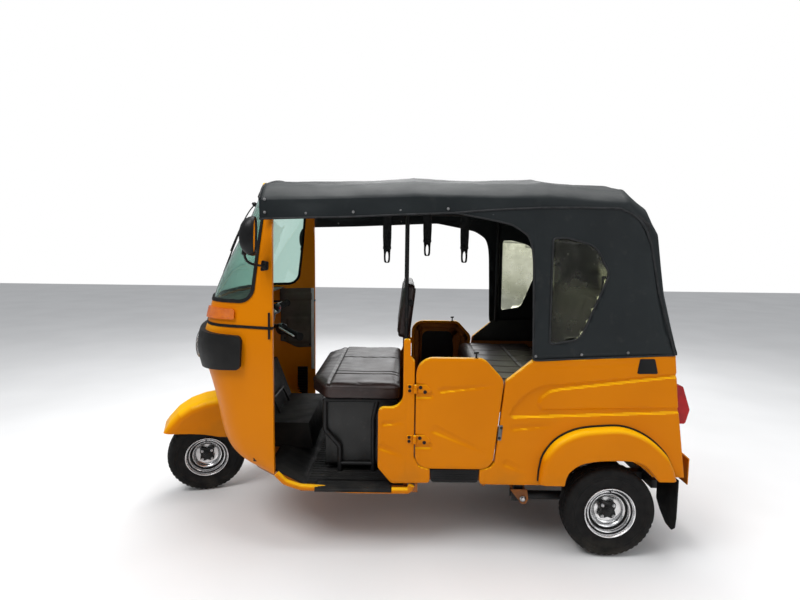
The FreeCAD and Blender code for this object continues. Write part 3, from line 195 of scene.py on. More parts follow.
def yellow_paint():
    paint = Finish("yellow_paint", coat=0.05, coat_roughness=0.08, specular=0.07)
    paint.tint((0.610, 0.178, 0.0004), (0.655, 0.197, 0.0008), paint.cloud(2.3, 3))
    # Painted light: paler, yellower paint on faces that look up, as if lit from above.
    paint.lay_dirt_and_light((0.93, 0.48, 0.003), paint.painted_top_light(0.22, 0.70))
    dust = paint.times(paint.cloud(9, 6), paint.low_down(0.28, 0.62))
    paint.lay_dirt_and_light((0.30, 0.13, 0.02), paint.between(dust, 0.30, 0.75, 0, 0.5))
    paint.sheen_spots(paint.cloud(14, 5), 0.30, 0.42)
    return paint.relief(paint.cloud(420, 2), 0.05, 0.0006).relief(paint.cloud(7, 2), 0.06, 0.004).material


# Painted shade: the body's yellow paint darkened to red-brown for faces inside and under the body, which lie in shade;
# with darker brown patches towards the bottom.
def shaded_inner_paint():
    paint = Finish("shaded_inner_paint", coat=0.1, coat_roughness=0.3, specular=0.35)
    paint.tint((0.30, 0.085, 0.008), (0.40, 0.125, 0.012), paint.cloud(6, 5))
    paint.lay_dirt_and_light((0.10, 0.05, 0.025), paint.between(paint.times(paint.cloud(18, 7), paint.low_down(0.25, 0.75)),
                                                 0.35, 0.7, 0, 0.7))
    paint.sheen_spots(paint.cloud(22, 4), 0.38, 0.6)
    return paint.relief(paint.cloud(260, 3), 0.12, 0.0006).material


def canopy_vinyl():
    cloth = Finish("canopy_vinyl", specular=0.30)
    cloth.tint((0.0075, 0.0105, 0.0120), (0.0115, 0.0155, 0.0170), cloth.cloud(3.2, 6))
    # Painted light: the cloth is paler where it faces up, standing for sky sheen on its top.
    cloth.lay_dirt_and_light((0.024, 0.027, 0.027), cloth.painted_top_light(0.35, 0.9))
    cloth.lay_dirt_and_light((0.048, 0.047, 0.043), cloth.between(cloth.cloud(26, 8), 0.60, 0.82, 0, 0.25))
    cloth.sheen_spots(cloth.cloud(5, 5), 0.42, 0.56)
    grain = cloth.cells(640)
    return cloth.relief(cloth.cloud(9, 4, (0.7, 1, 1.3)), 0.20, 0.012).relief(grain, 0.28, 0.0005).material


def dark_binding():
    tape = Finish("dark_binding", specular=0.35)
    tape.tint((0.010, 0.011, 0.012), (0.022, 0.023, 0.025), tape.cloud(40, 4))
    tape.sheen_spots(tape.cloud(30, 3), 0.5, 0.7)
    return tape.relief(tape.ribs(260, "DIAGONAL"), 0.3, 0.0006).material


def window_sheet():
    sheet = Finish("window_sheet", roughness=0.12, transmission=1.0, ior=1.35)
    sheet.tint((0.40, 0.41, 0.30), (0.56, 0.57, 0.45), sheet.cloud(7, 5))
    sheet.sheen_spots(sheet.cloud(16, 6), 0.10, 0.34)
    return sheet.relief(sheet.cloud(5, 3), 0.25, 0.006).material


def screen_glass():
    glass = Finish("screen_glass", roughness=0.02, transmission=1.0, ior=1.42)
    glass.tint((0.40, 0.58, 0.52), (0.43, 0.61, 0.55), glass.cloud(1.5, 2))
    return glass.material


def seat_vinyl(name="seat_vinyl", dark=(0.017, 0.0085, 0.0075), light=(0.034, 0.0175, 0.015), gloss=(0.36, 0.47)):
    vinyl = Finish(name, coat=0.12, coat_roughness=0.32, specular=0.5)
    vinyl.tint(dark, light, vinyl.cloud(9, 5))
    vinyl.lay_dirt_and_light((0.10, 0.085, 0.075), vinyl.between(vinyl.cloud(33, 8), 0.60, 0.82, 0, 0.3))
    vinyl.sheen_spots(vinyl.cloud(12, 5), *gloss)
    return vinyl.relief(vinyl.cloud(22, 4), 0.22, 0.003).relief(vinyl.cells(430), 0.35, 0.0005).material


def black_rubber():
    rubber = Finish("black_rubber", specular=0.18)
    rubber.tint((0.0065, 0.0065, 0.007), (0.013, 0.0125, 0.012), rubber.cloud(30, 6))
    rubber.lay_dirt_and_light((0.05, 0.045, 0.036), rubber.between(rubber.cloud(11, 8), 0.56, 0.80, 0, 0.3))
    rubber.sheen_spots(rubber.cloud(18, 4), 0.62, 0.82)
    return rubber.relief(rubber.cloud(350, 3), 0.25, 0.0006).material


def tyre_rubber():
    rubber = Finish("tyre_rubber", specular=0.16)
    rubber.tint((0.0060, 0.0060, 0.0062), (0.0115, 0.0105, 0.010), rubber.cloud(24, 6))
    rubber.lay_dirt_and_light((0.075, 0.065, 0.050), rubber.between(
        rubber.times(rubber.cloud(19, 8), rubber.low_down(0.0, 0.24)), 0.28, 0.75, 0, 0.5))
    rubber.sheen_spots(rubber.cloud(20, 4), 0.55, 0.78)
    return rubber.relief(rubber.cloud(420, 3), 0.3, 0.0005).material


def ribbed_mat():
    mat = Finish("ribbed_mat", specular=0.22)
    mat.tint((0.006, 0.006, 0.0065), (0.013, 0.0125, 0.012), mat.cloud(14, 6))
    mat.lay_dirt_and_light((0.06, 0.052, 0.04), mat.between(mat.cloud(8, 8), 0.52, 0.85, 0, 0.4))
    mat.sheen_spots(mat.cloud(12, 4), 0.42, 0.65)
    return mat.relief(mat.ribs(46, "Y"), 0.9, 0.003).relief(mat.cloud(300, 3), 0.2, 0.0005).material


def moulded_plastic(name="moulded_plastic", dark=(0.0075, 0.0075, 0.0075), light=(0.013, 0.013, 0.0125),
                    rough=(0.45, 0.6)):
    plastic = Finish(name, specular=0.22)
    plastic.tint(dark, light, plastic.cloud(8, 4))
    plastic.sheen_spots(plastic.cloud(25, 4), *rough)
    return plastic.relief(plastic.cells(520), 0.4, 0.0004).material


def black_steel():
    steel = Finish("black_steel", coat=0.08, coat_roughness=0.3, specular=0.3)
    steel.tint((0.0065, 0.0065, 0.007), (0.012, 0.012, 0.0125), steel.cloud(30, 5))
    steel.lay_dirt_and_light((0.09, 0.045, 0.02), steel.between(steel.cloud(42, 9), 0.63, 0.80, 0, 0.5))
    steel.sheen_spots(steel.cloud(35, 4), 0.34, 0.55)
    return steel.relief(steel.cloud(220, 3), 0.15, 0.0006).material


def wheel_silver():
    silver = Finish("wheel_silver", metallic=0.94, specular=0.5)
    silver.tint((0.60, 0.60, 0.605), (0.86, 0.86, 0.865), silver.cloud(17, 5))
    silver.lay_dirt_and_light((0.10, 0.085, 0.07), silver.between(silver.cloud(60, 8), 0.60, 0.80, 0, 0.6))
    silver.sheen_spots(silver.cloud(28, 4), 0.16, 0.30)
    return silver.relief(silver.cloud(200, 4), 0.12, 0.0005).material


def bright_steel():
    steel = Finish("bright_steel", metallic=1.0)
    steel.tint((0.42, 0.42, 0.43), (0.62, 0.62, 0.63), steel.cloud(60, 4))
    steel.sheen_spots(steel.cloud(90, 4, (1, 1, 8)), 0.2, 0.38)
    return steel.relief(steel.cloud(300, 2), 0.08, 0.0004).material


def cast_metal():
    cast = Finish("cast_metal", metallic=0.7)
    cast.tint((0.12, 0.12, 0.122), (0.24, 0.24, 0.242), cast.cloud(22, 6))
    cast.sheen_spots(cast.cloud(30, 4), 0.45, 0.7)
    return cast.relief(cast.cloud(160, 5), 0.5, 0.001).material


def lining_board():
    board = Finish("lining_board", specular=0.3)
    board.tint((0.066, 0.053, 0.040), (0.092, 0.075, 0.058), board.cloud(7, 5))
    board.lay_dirt_and_light((0.03, 0.025, 0.02), board.between(board.cloud(21, 7), 0.58, 0.8, 0, 0.5))
    board.sheen_spots(board.cloud(16, 4), 0.5, 0.7)
    return board.relief(board.cells(300), 0.3, 0.0005).material


def lens(name, dark, light, clear=0.5, rough=0.08):
    plastic = Finish(name, roughness=rough, coat=0.15, coat_roughness=0.03, specular=0.25, transmission=clear)
    plastic.tint(dark, light, plastic.cloud(30, 2))
    return plastic.relief(plastic.ribs(75, "Z"), 0.5, 0.002).relief(plastic.ribs(60, "X"), 0.25, 0.002).material


def plate_enamel():
    enamel = Finish("plate_enamel", coat=0.2, specular=0.5)
    enamel.tint((0.56, 0.56, 0.54), (0.66, 0.66, 0.64), enamel.cloud(20, 4))
    enamel.sheen_spots(enamel.cloud(25, 4), 0.3, 0.45)
    return enamel.relief(enamel.cloud(120, 3), 0.08, 0.0005).material


PAINT = yellow_paint()
SHADED_INNER = shaded_inner_paint()
CANOPY = canopy_vinyl()
BINDING = dark_binding()
WINDOW = window_sheet()
GLASS = screen_glass()
SEAT = seat_vinyl()
SKIRT = seat_vinyl("skirt_vinyl", (0.0048, 0.0048, 0.0046), (0.0095, 0.0095, 0.009), (0.34, 0.50))
RUBBER = black_rubber()
TYRE = tyre_rubber()
MAT = ribbed_mat()
PLASTIC = moulded_plastic()
BLACK = moulded_plastic("black_plastic", (0.0055, 0.0055, 0.006), (0.0105, 0.0105, 0.011), (0.3, 0.48))
STEEL = black_steel()
SILVER = wheel_silver()
BRIGHT = bright_steel()
CAST = cast_metal()
LINING = lining_board()
AMBER = lens("amber_lens", (0.56, 0.105, 0.001), (0.66, 0.150, 0.002), 0.0, 0.2)
RED = lens("red_lens", (0.34, 0.001, 0.003), (0.44, 0.002, 0.005), 0.0, 0.2)
LAMP = lens("lamp_glass", (0.80, 0.82, 0.83), (0.88, 0.90, 0.91), 0.85, 0.04)
ENAMEL = plate_enamel()

NODE_FINISH = {
    PAINT: ["cowl_lower", "cowl_upper", "front_quarters", "door_left", "door_right", "rear_quarters",
            "fender_flares", "rear_panel", "engine_lid", "rear_bumper", "sill_rails", "front_mudguard"],
    # Painted shade: floor, partition and bench base take the body paint darkened to red-brown.
    SHADED_INNER: ["floor_pan", "passenger_floor", "partition", "bench_base"],
    CANOPY: ["canopy_roof", "canopy_back", "canopy_sides"],
    WINDOW: ["canopy_windows"],
    GLASS: ["windscreen"],
    RUBBER: ["windscreen_seal", "mud_flaps", "trim_band"],
    MAT: ["floor_mat", "wheel_housing"],
    PLASTIC: ["lamp_nacelle"],
    BLACK: ["mirrors", "grab_straps"],
    LINING: ["dash_shelf"],
    LAMP: ["headlamps"],
    AMBER: ["indicators"],
    RED: ["tail_lamps"],
    STEEL: ["chassis_frame", "trailing_arms", "rear_shocks", "front_fork", "steering_head", "seat_frame",
            "roof_frame", "handlebar"],
    CAST: ["engine_block"],
    SILVER: ["front_rim", "rear_rim_left", "rear_rim_right"],
    TYRE: ["front_tyre", "rear_tyre_left", "rear_tyre_right"],
    SEAT: ["driver_cushion", "driver_backrest", "bench_cushion", "bench_back"],
    SKIRT: ["seat_box"],
    ENAMEL: ["number_plate"],
}
for material, names in NODE_FINISH.items():
    for name in names:
        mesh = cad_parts[name].data
        mesh.materials.clear()
        mesh.materials.append(material)


# Making pieces


def piece(name, solid, materials, body="body", replaces=()):
    """Turn a finished bmesh into a piece that rides on a body."""
    mesh = bpy.data.meshes.new(name)
    for face in solid.faces:
        face.smooth = True
    solid.to_mesh(mesh)
    solid.free()
    made = bpy.data.objects.new(name, mesh)
    bpy.context.scene.collection.objects.link(made)
    for material in materials if isinstance(materials, (list, tuple)) else [materials]:
        mesh.materials.append(material)
    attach(made, body)
    if replaces:
        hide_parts(*replaces)
    return made


def shaped_by(made, kind, **values):
    modifier = made.modifiers.new(kind.lower(), kind)
    for key, value in values.items():
        setattr(modifier, key, value)


def settle(made):
    """Apply what the modifiers do."""
    seen = made.evaluated_get(bpy.context.evaluated_depsgraph_get())
    mesh = bpy.data.meshes.new_from_object(seen)
    made.modifiers.clear()
    made.data = mesh
    return made


def sharpened(made, angle=35):
    """Smooth faces, with edges past an angle kept crisp."""
    mesh = made.data
    solid = bmesh.new()
    solid.from_mesh(mesh)
    for edge in solid.edges:
        edge.smooth = not (len(edge.link_faces) == 2 and edge.calc_face_angle() > math.radians(angle))
    for face in solid.faces:
        face.smooth = True
    solid.to_mesh(mesh)
    solid.free()
    return made


def flat_outline(solid, corners, axis="Y", level=0.0):
    """One face through (first, second) corners in millimetres, across the car (Y), along it (X) or level (Z)."""
    place = {"Y": lambda a, b: spot(a, level, b), "X": lambda a, b: spot(level, a, b),
             "Z": lambda a, b: spot(a, b, level)}[axis]
    return solid.faces.new([solid.verts.new(place(a, b)) for a, b in corners])


def thickened(solid, faces, way):
    """Extrude faces by a vector in metres."""
    out = bmesh.ops.extrude_face_region(solid, geom=faces)
    moved = [part for part in out["geom"] if isinstance(part, bmesh.types.BMVert)]
    bmesh.ops.translate(solid, verts=moved, vec=way)


def slab(solid, corners, axis, level, depth, bevel=0.0, segments=3):
    """A plate from an outline, depth millimetres along its axis, with its rims rounded."""
    before = set(solid.faces)
    face = flat_outline(solid, corners, axis, level)
    way = {"Y": Vector((0, depth, 0)), "X": Vector((depth, 0, 0)), "Z": Vector((0, 0, depth))}[axis] / 1000
    thickened(solid, [face], way)
    made = [face for face in solid.faces if face not in before]
    bmesh.ops.recalc_face_normals(solid, faces=made)
    if bevel:
        edges = list({edge for face in made for edge in face.edges
                      if edge.calc_face_angle(0) > math.radians(25)})
        bmesh.ops.bevel(solid, geom=edges, offset=bevel / 1000, segments=segments, profile=0.5,
                        affect="EDGES", material=-1, clamp_overlap=True)


def drum(solid, centre, radius, depth, way=(0, 1, 0), segments=32, bevel=0.0):
    """A round boss of a depth along a way, in millimetres, about its centre."""
    turn = Vector((0, 0, 1)).rotation_difference(Vector(way)).to_matrix().to_4x4()
    made = bmesh.ops.create_cone(solid, cap_ends=True, segments=segments, radius1=radius / 1000,
                                 radius2=radius / 1000, depth=depth / 1000,
                                 matrix=Matrix.Translation(centre) @ turn)
    if bevel:
        rims = [edge for edge in {edge for vert in made["verts"] for edge in vert.link_edges}
                if edge.calc_face_angle(0) > math.radians(60)]
        bmesh.ops.bevel(solid, geom=rims, offset=bevel / 1000, segments=2, profile=0.5, affect="EDGES",
                        material=-1, clamp_overlap=True)


def tube(name, routes, radius, material, body="body", resolution=6):
    """Round bars or piping along smooth routes of points."""
    line = bpy.data.curves.new(name, "CURVE")
    line.dimensions = "3D"
    line.bevel_depth = radius / 1000
    line.bevel_resolution = 3
    line.use_fill_caps = True
    for route, closed in routes:
        run = line.splines.new("NURBS")
        run.points.add(len(route) - 1)
        for point, place in zip(run.points, route):
            point.co = (*place, 1)
        run.order_u = 3
        run.use_endpoint_u = not closed
        run.use_cyclic_u = closed
        run.resolution_u = resolution
    made = bpy.data.objects.new(name, line)
    bpy.context.scene.collection.objects.link(made)
    seen = made.evaluated_get(bpy.context.evaluated_depsgraph_get())
    mesh = bpy.data.meshes.new_from_object(seen)
    bpy.data.objects.remove(made)
    solid = bmesh.new()
    solid.from_mesh(mesh)
    bmesh.ops.remove_doubles(solid, verts=solid.verts, dist=1e-6)
    bmesh.ops.recalc_face_normals(solid, faces=solid.faces)
    return piece(name, solid, material, body)


def tinted(solid, tint, make, *rest):
    """Run a maker and give what it adds one of the piece's materials."""
    before = set(solid.faces)
    make(solid, *rest)
    for face in solid.faces:
        if face not in before:
            face.material_index = tint


def smoothstep(low, high, value):
    t = max(0.0, min(1.0, (value - low) / (high - low)))
    return t * t * (3 - 2 * t)


def between(table, station):
    """Straight-line reading of a table of (station, value) pairs."""
    for (a, first), (b, second) in zip(table, table[1:]):
        if station <= b:
            return first + (second - first) * max(0.0, (station - a)) / (b - a)
    return table[-1][1]


# Canopy: one cloth cover over the hoops

HOOPS = [(462, 20), (1118, 0), (1679, 0), (2030, 26), (2119, 99), (2172, 190), (2213, 449), (2262, 640)]
CORNER = 50
HEM = [(462, 1475), (800, 1486), (1290, 1510), (1421, 1486), (1527, 1464), (1580, 1437), (1604, 1412),
       (1616, 1384), (1624, 1350), (1629, 1300), (1633, 1180), (1637, 1050), (1641, 880), (2254, 912),
       (2262, 912)]
BELT = 912
SHOULDER_STEPS, ROOF_STEPS, SIDE_STEPS, CAP_STEPS = 8, 22, 26, 10


def arc(first, middle, last, steps):
    """Points on the circle through three (across, height) points, first to last."""
    (ax, ay), (bx, by), (cx, cy) = first, middle, last
    d = 2 * (ax * (by - cy) + bx * (cy - ay) + cx * (ay - by))
    ox = ((ax * ax + ay * ay) * (by - cy) + (bx * bx + by * by) * (cy - ay) + (cx * cx + cy * cy) * (ay - by)) / d
    oy = ((ax * ax + ay * ay) * (cx - bx) + (bx * bx + by * by) * (ax - cx) + (cx * cx + cy * cy) * (bx - ax)) / d
    radius = math.hypot(ax - ox, ay - oy)
    start = math.atan2(ay - oy, ax - ox)
    sweep = math.remainder(math.atan2(cy - oy, cx - ox) - start, 2 * math.pi)
    return [(ox + radius * math.cos(start + sweep * k / steps), oy + radius * math.sin(start + sweep * k / steps))
            for k in range(steps + 1)]


def bow(station):
    """Half of the cover's section, crown to side, as (across, height)."""
    crown = 1704 - between(HOOPS, station)
    shoulder, bend, side = (450, crown - 49), (556, crown - 83), (600, crown - 129)
    roof = arc((0, crown), (230, crown - 49 * (230 / 450) ** 2), shoulder, ROOF_STEPS)
    return roof + arc(shoulder, bend, side, SHOULDER_STEPS)[1:]


def section(station):
    """The whole cover's section, left hem over the crown to the right hem."""
    half = bow(station)
    side = half[-1][1]
    foot = between(HEM, station)
    drop = [(600, side + (foot - side) * k / SIDE_STEPS) for k in range(1, SIDE_STEPS + 1)]
    right = half + drop
    return [(-across, height) for across, height in reversed(right)] + right[1:]


def stations():
    """Every 22 mm or so, on each hoop and down the door opening's steep edge."""
    marks = sorted({mark for mark, _ in HOOPS} | {mark for mark, _ in HEM if mark < 2250})
    run = []
    for first, last in zip(marks, marks[1:]):
        steps = max(1, round((last - first) / 22))
        run += [first + (last - first) * k / steps for k in range(steps)]
    return run + [marks[-1]]


RIDGES = [1118, 1679, 2030, 2119]


def drawn_in(station, across, height):
    """How far the tail's upright corners are rounded off, in millimetres."""
    out = max(0.0, min(1.0, (abs(across) - 600 + CORNER) / CORNER))
    return CORNER * (1 - math.sqrt(1 - out * out)) * smoothstep(2010, 2150, station) * smoothstep(915, 1010, height)


def on_back(across, height):
    """A point on the tail's slope at a height, from a search along the hoops."""
    low, high = 2030.0, 2262.0
    dip = 49 * (across / 450) ** 2
    for _ in range(24):
        middle = (low + high) / 2
        low, high = (middle, high) if 1704 - between(HOOPS, middle) - dip > height else (low, middle)
    return spot(low, across, height)


def wave(point, scale, seed):
    return math.sin(point.x * scale + seed) * math.sin(point.y * scale * 0.83 + seed * 1.7) \
        + 0.6 * math.sin((point.x + point.z) * scale * 1.9 + seed * 2.3) * math.sin((point.z - point.y) * scale * 1.4)


def sag(point):
    """How far the cloth lies under its stretched line, in millimetres."""
    station = station_of(point)
    height = point.z * 1000
    ridge = sum(math.exp(-((station - mark) / 15) ** 2) for mark in RIDGES)
    depth = 0.0
    for first, last in zip([462] + RIDGES, RIDGES + [2262]):
        if first < station < last:
            u = (station - first) / (last - first)
            depth = min(7, (last - first) * 0.014) * math.sin(math.pi * u) ** 1.2
    on_side = smoothstep(1600, 1500, height) if station < 2210 else 0
    depth = depth * (1 - on_side) + on_side * 3.5 * smoothstep(1650, 1800, station)
    fold = 1.9 * wave(point, 15, 0.7) + 0.9 * wave(point, 37, 2.1)
    near = sum(math.exp(-abs(station - mark) / 60) for mark in RIDGES)
    pleat = 1.6 * near * math.sin(height * 0.047 + point.y * 21) * (1 if height > 1500 else 0.5)
    flutter = 5 * smoothstep(70, 0, height - between(HEM, station)) * math.sin(station / 62) \
        if station < 1560 and abs(point.y) > 0.56 else 0
    return depth + fold * 0.8 + pleat * 0.6 + flutter - 1.4 * ridge


def cut_along(solid, corners, axis, wanted):
    """Cut faces along a closed convex outline and return those inside it."""
    for (a, b), (c, d) in zip(corners, corners[1:] + corners[:1]):
        if math.hypot(c - a, d - b) < 1e-6:
            continue
        if axis == "Y":
            normal, anchor = Vector((d - b, 0, a - c)), spot(a, 0, b)
            low = spot(min(a, c), 0, min(b, d)) - Vector((0.003, 0, 0.003))
            high = spot(max(a, c), 0, max(b, d)) + Vector((0.003, 0, 0.003))
            hit = [face for face in solid.faces if wanted(face.calc_center_median()) and
                   max(v.co.x for v in face.verts) > low.x and min(v.co.x for v in face.verts) < high.x and
                   max(v.co.z for v in face.verts) > low.z and min(v.co.z for v in face.verts) < high.z]
        else:
            normal, anchor = Vector((0, d - b, a - c)), Vector((0, a / 1000, b / 1000))
            low, high = (Vector((0, min(a, c) / 1000 - 0.003, min(b, d) / 1000 - 0.003)),
                         Vector((0, max(a, c) / 1000 + 0.003, max(b, d) / 1000 + 0.003)))
            hit = [face for face in solid.faces if wanted(face.calc_center_median()) and
                   max(v.co.y for v in face.verts) > low.y and min(v.co.y for v in face.verts) < high.y and
                   max(v.co.z for v in face.verts) > low.z and min(v.co.z for v in face.verts) < high.z]
        geometry = hit + list({edge for face in hit for edge in face.edges}) + \
            list({vert for face in hit for vert in face.verts})
        bmesh.ops.bisect_plane(solid, geom=geometry, dist=1e-5, plane_co=anchor, plane_no=normal.normalized())
    inside = []
    for face in solid.faces:
        centre = face.calc_center_median()
        if wanted(centre):
            first = station_of(centre) if axis == "Y" else centre.y * 1000
            if all((c - a) * (centre.z * 1000 - b) - (d - b) * (first - a) > 0
                   for (a, b), (c, d) in zip(corners, corners[1:] + corners[:1])):
                inside.append(face)
    return inside


def rounded(corners, radii, step=7.0):
    """An outline whose corners are arcs; a radius of 0 leaves a corner sharp."""
    drawn = []
    count = len(corners)
    for n, (corner, radius) in enumerate(zip(corners, radii)):
        here = Vector(corner)
        back = (Vector(corners[n - 1]) - here).normalized()
        on = (Vector(corners[(n + 1) % count]) - here).normalized()
        if not radius:
            drawn.append(tuple(here))
            continue
        half = back.angle(on) / 2
        reach = radius / math.tan(half)
        middle = here + (back + on).normalized() * radius / math.sin(half)
        first, last = here + back * reach - middle, here + on * reach - middle
        turn = math.remainder(math.atan2(last.y, last.x) - math.atan2(first.y, first.x), 2 * math.pi)
        steps = max(2, round(abs(turn) * radius / step))
        start = math.atan2(first.y, first.x)
        drawn += [(middle.x + radius * math.cos(start + turn * k / steps),
                   middle.y + radius * math.sin(start + turn * k / steps)) for k in range(steps + 1)]
    return drawn


def oblong(a, b, c, d):
    """The corners of a rectangle, from its low corner (a, b) to its high one (c, d)."""
    return [(a, b), (c, b), (c, d), (a, d)]


SIDE_WINDOW = rounded([(1710, 952), (1842, 976), (1954, 1258), (1890, 1378), (1770, 1410), (1708, 1408)],
                      [14, 60, 40, 90, 30, 12])
REAR_WINDOW = rounded(oblong(-260, 1010, 260, 1300), [60] * 4)


def canopy_cover():
    marks = stations()
    rows = [section(mark) for mark in marks]
    solid = bmesh.new()
    columns = len(rows[0])
    grid = bmesh.ops.create_grid(solid, x_segments=len(rows) - 1, y_segments=columns - 1, size=1)["verts"]
    grid.sort(key=lambda vert: (round(vert.co.x, 5), vert.co.y))
    for n, vert in enumerate(grid):
        row, column = divmod(n, columns)
        across, height = rows[row][column]
        vert.co = spot(marks[row] - drawn_in(marks[row], across, height), across, height)
    # The tail below the last hoop is a flat panel down to the belt.
    arch = rows[-1][SIDE_STEPS:columns - SIDE_STEPS]
    tail = bmesh.ops.create_grid(solid, x_segments=CAP_STEPS, y_segments=len(arch) - 1, size=1)["verts"]
    tail.sort(key=lambda vert: (round(vert.co.x, 5), vert.co.y))
    for n, vert in enumerate(tail):
        row, column = divmod(n, len(arch))
        across, height = arch[column]
        height += (BELT - height) * row / CAP_STEPS
        vert.co = spot(2262 - drawn_in(2262, across, height), across, height)
    bmesh.ops.remove_doubles(solid, verts=solid.verts, dist=4e-4)
    bmesh.ops.recalc_face_normals(solid, faces=solid.faces)
    crown = max(solid.faces, key=lambda face: face.calc_center_median().z)
    if crown.normal.z < 0:
        bmesh.ops.reverse_faces(solid, faces=solid.faces)
    panes = []
    for side in (LEFT, RIGHT):
        panes += cut_along(solid, SIDE_WINDOW, "Y", lambda at, side=side: at.y * side > 0.58)
    panes += cut_along(solid, REAR_WINDOW, "X", lambda at: station_of(at) > 2150 and abs(at.y) < 0.4)
    solid.normal_update()
    moves = [(vert, vert.normal * (-sag(vert.co) / 1000)) for vert in solid.verts]
    for vert, move in moves:
        vert.co += move
    clear = solid.copy()
    clear.faces.ensure_lookup_table()
    kept = {face.index for face in panes}
    bmesh.ops.delete(clear, geom=[face for face in clear.faces if face.index not in kept], context="FACES")
    bmesh.ops.delete(solid, geom=panes, context="FACES")
    cover = piece("canopy_cover", solid, CANOPY,
                  replaces=("canopy_roof", "canopy_back", "canopy_sides"))
    shaped_by(cover, "SOLIDIFY", thickness=0.0018, offset=-1)
    sheets = piece("canopy_panes", clear, WINDOW, replaces=("canopy_windows",))
    shaped_by(sheets, "SOLIDIFY", thickness=0.001, offset=-1)
    settle(sheets)
    return settle(cover)


def on_cover(station, across, height, out=0.0):
    """A point on the cover's stretched side or roof, moved with the sag."""
    point = spot(station, across, height)
    outward = Vector((0, math.copysign(1, across), 0)) if abs(across) > 599 else Vector((0, 0, 1))
    return point - outward * ((sag(point) - out) / 1000)


def close_set(points, pitch=16):
    """The same path with points no further apart than the pitch."""
    filled = []
    for (a, b), (c, d) in zip(points, points[1:]):
        count = max(1, math.ceil(math.hypot(c - a, d - b) / pitch))
        filled += [(a + (c - a) * k / count, b + (d - b) * k / count) for k in range(count)]
    return filled + [points[-1]]


def canopy_trim():
    """Piping round the windows and along seams, and bindings on the hems."""
    seams = []
    for side in (LEFT, RIGHT):
        frame_line = [on_cover(a, 600 * side, b, 0.8) for a, b in close_set(SIDE_WINDOW + SIDE_WINDOW[:1])[:-1]]
        seams.append((frame_line, True))
        seam = [(1290, 1510), (1400, 1519), (1520, 1528), (1649, 1535), (1820, 1538), (1985, 1536), (2035, 1514),
                (2073, 1486), (2102, 1440), (2124, 1386), (2146, 1290), (2167, 1192), (2206, 1065), (2252, 914)]
        seams.append(([on_cover(a, 600 * side, b, 1.2) for a, b in close_set(seam)], False))
    seams.append(([on_back(a, b) + Vector((0.002, 0, 0)) for a, b in REAR_WINDOW], True))
    piping = tube("canopy_piping", seams, 4.4, BINDING, resolution=4)
    hems = []
    for side in (LEFT, RIGHT):
        edge = [on_cover(station, 600 * side, between(HEM, station), 0.5)
                for station in [462 + 26 * k for k in range(43)] + [1590, 1604, 1616, 1624, 1629]]
        edge += [on_cover(a, 600 * side, b, 0.5) for a, b in ((1631, 1240), (1633, 1180), (1635, 1115), (1637, 1050),
                                                              (1639, 965), (1641, 890))]
        edge += [on_cover(1650 + 43 * k, 600 * side, between(HEM, 1650 + 43 * k), 0.5) for k in range(15)]
        hems.append((edge, False))
    front = [spot(463, across, height) for across, height in section(462)[SIDE_STEPS:-SIDE_STEPS]]
    hems.append((front, False))
    return [piping, tube("canopy_hem", hems, 4.2, BINDING, resolution=3)]


canopy = canopy_cover()
canopy_trim()


# Pressed panels


def away(point, outline, closed=True):
    """Distance from a point to a line of (first, second) corners."""
    x, z = point
    best = 1e9
    pairs = zip(outline, outline[1:] + outline[:1]) if closed else zip(outline, outline[1:])
    for (a, b), (c, d) in pairs:
        dx, dz = c - a, d - b
        t = max(0.0, min(1.0, ((x - a) * dx + (z - b) * dz) / (dx * dx + dz * dz + 1e-12)))
        best = min(best, (x - a - t * dx) ** 2 + (z - b - t * dz) ** 2)
    return math.sqrt(best)


def within(point, outline):
    x, z = point
    inside = False
    for (a, b), (c, d) in zip(outline, outline[1:] + outline[:1]):
        if (b > z) != (d > z) and x < (c - a) * (z - b) / (d - b) + a:
            inside = not inside
    return inside


# Slot 1 of a pressed panel holds the body paint darkened as painted shade.
PANEL_OUT, PANEL_BACK, PAINTED, INSIDE_SHADED = 600, 570, 0, 1


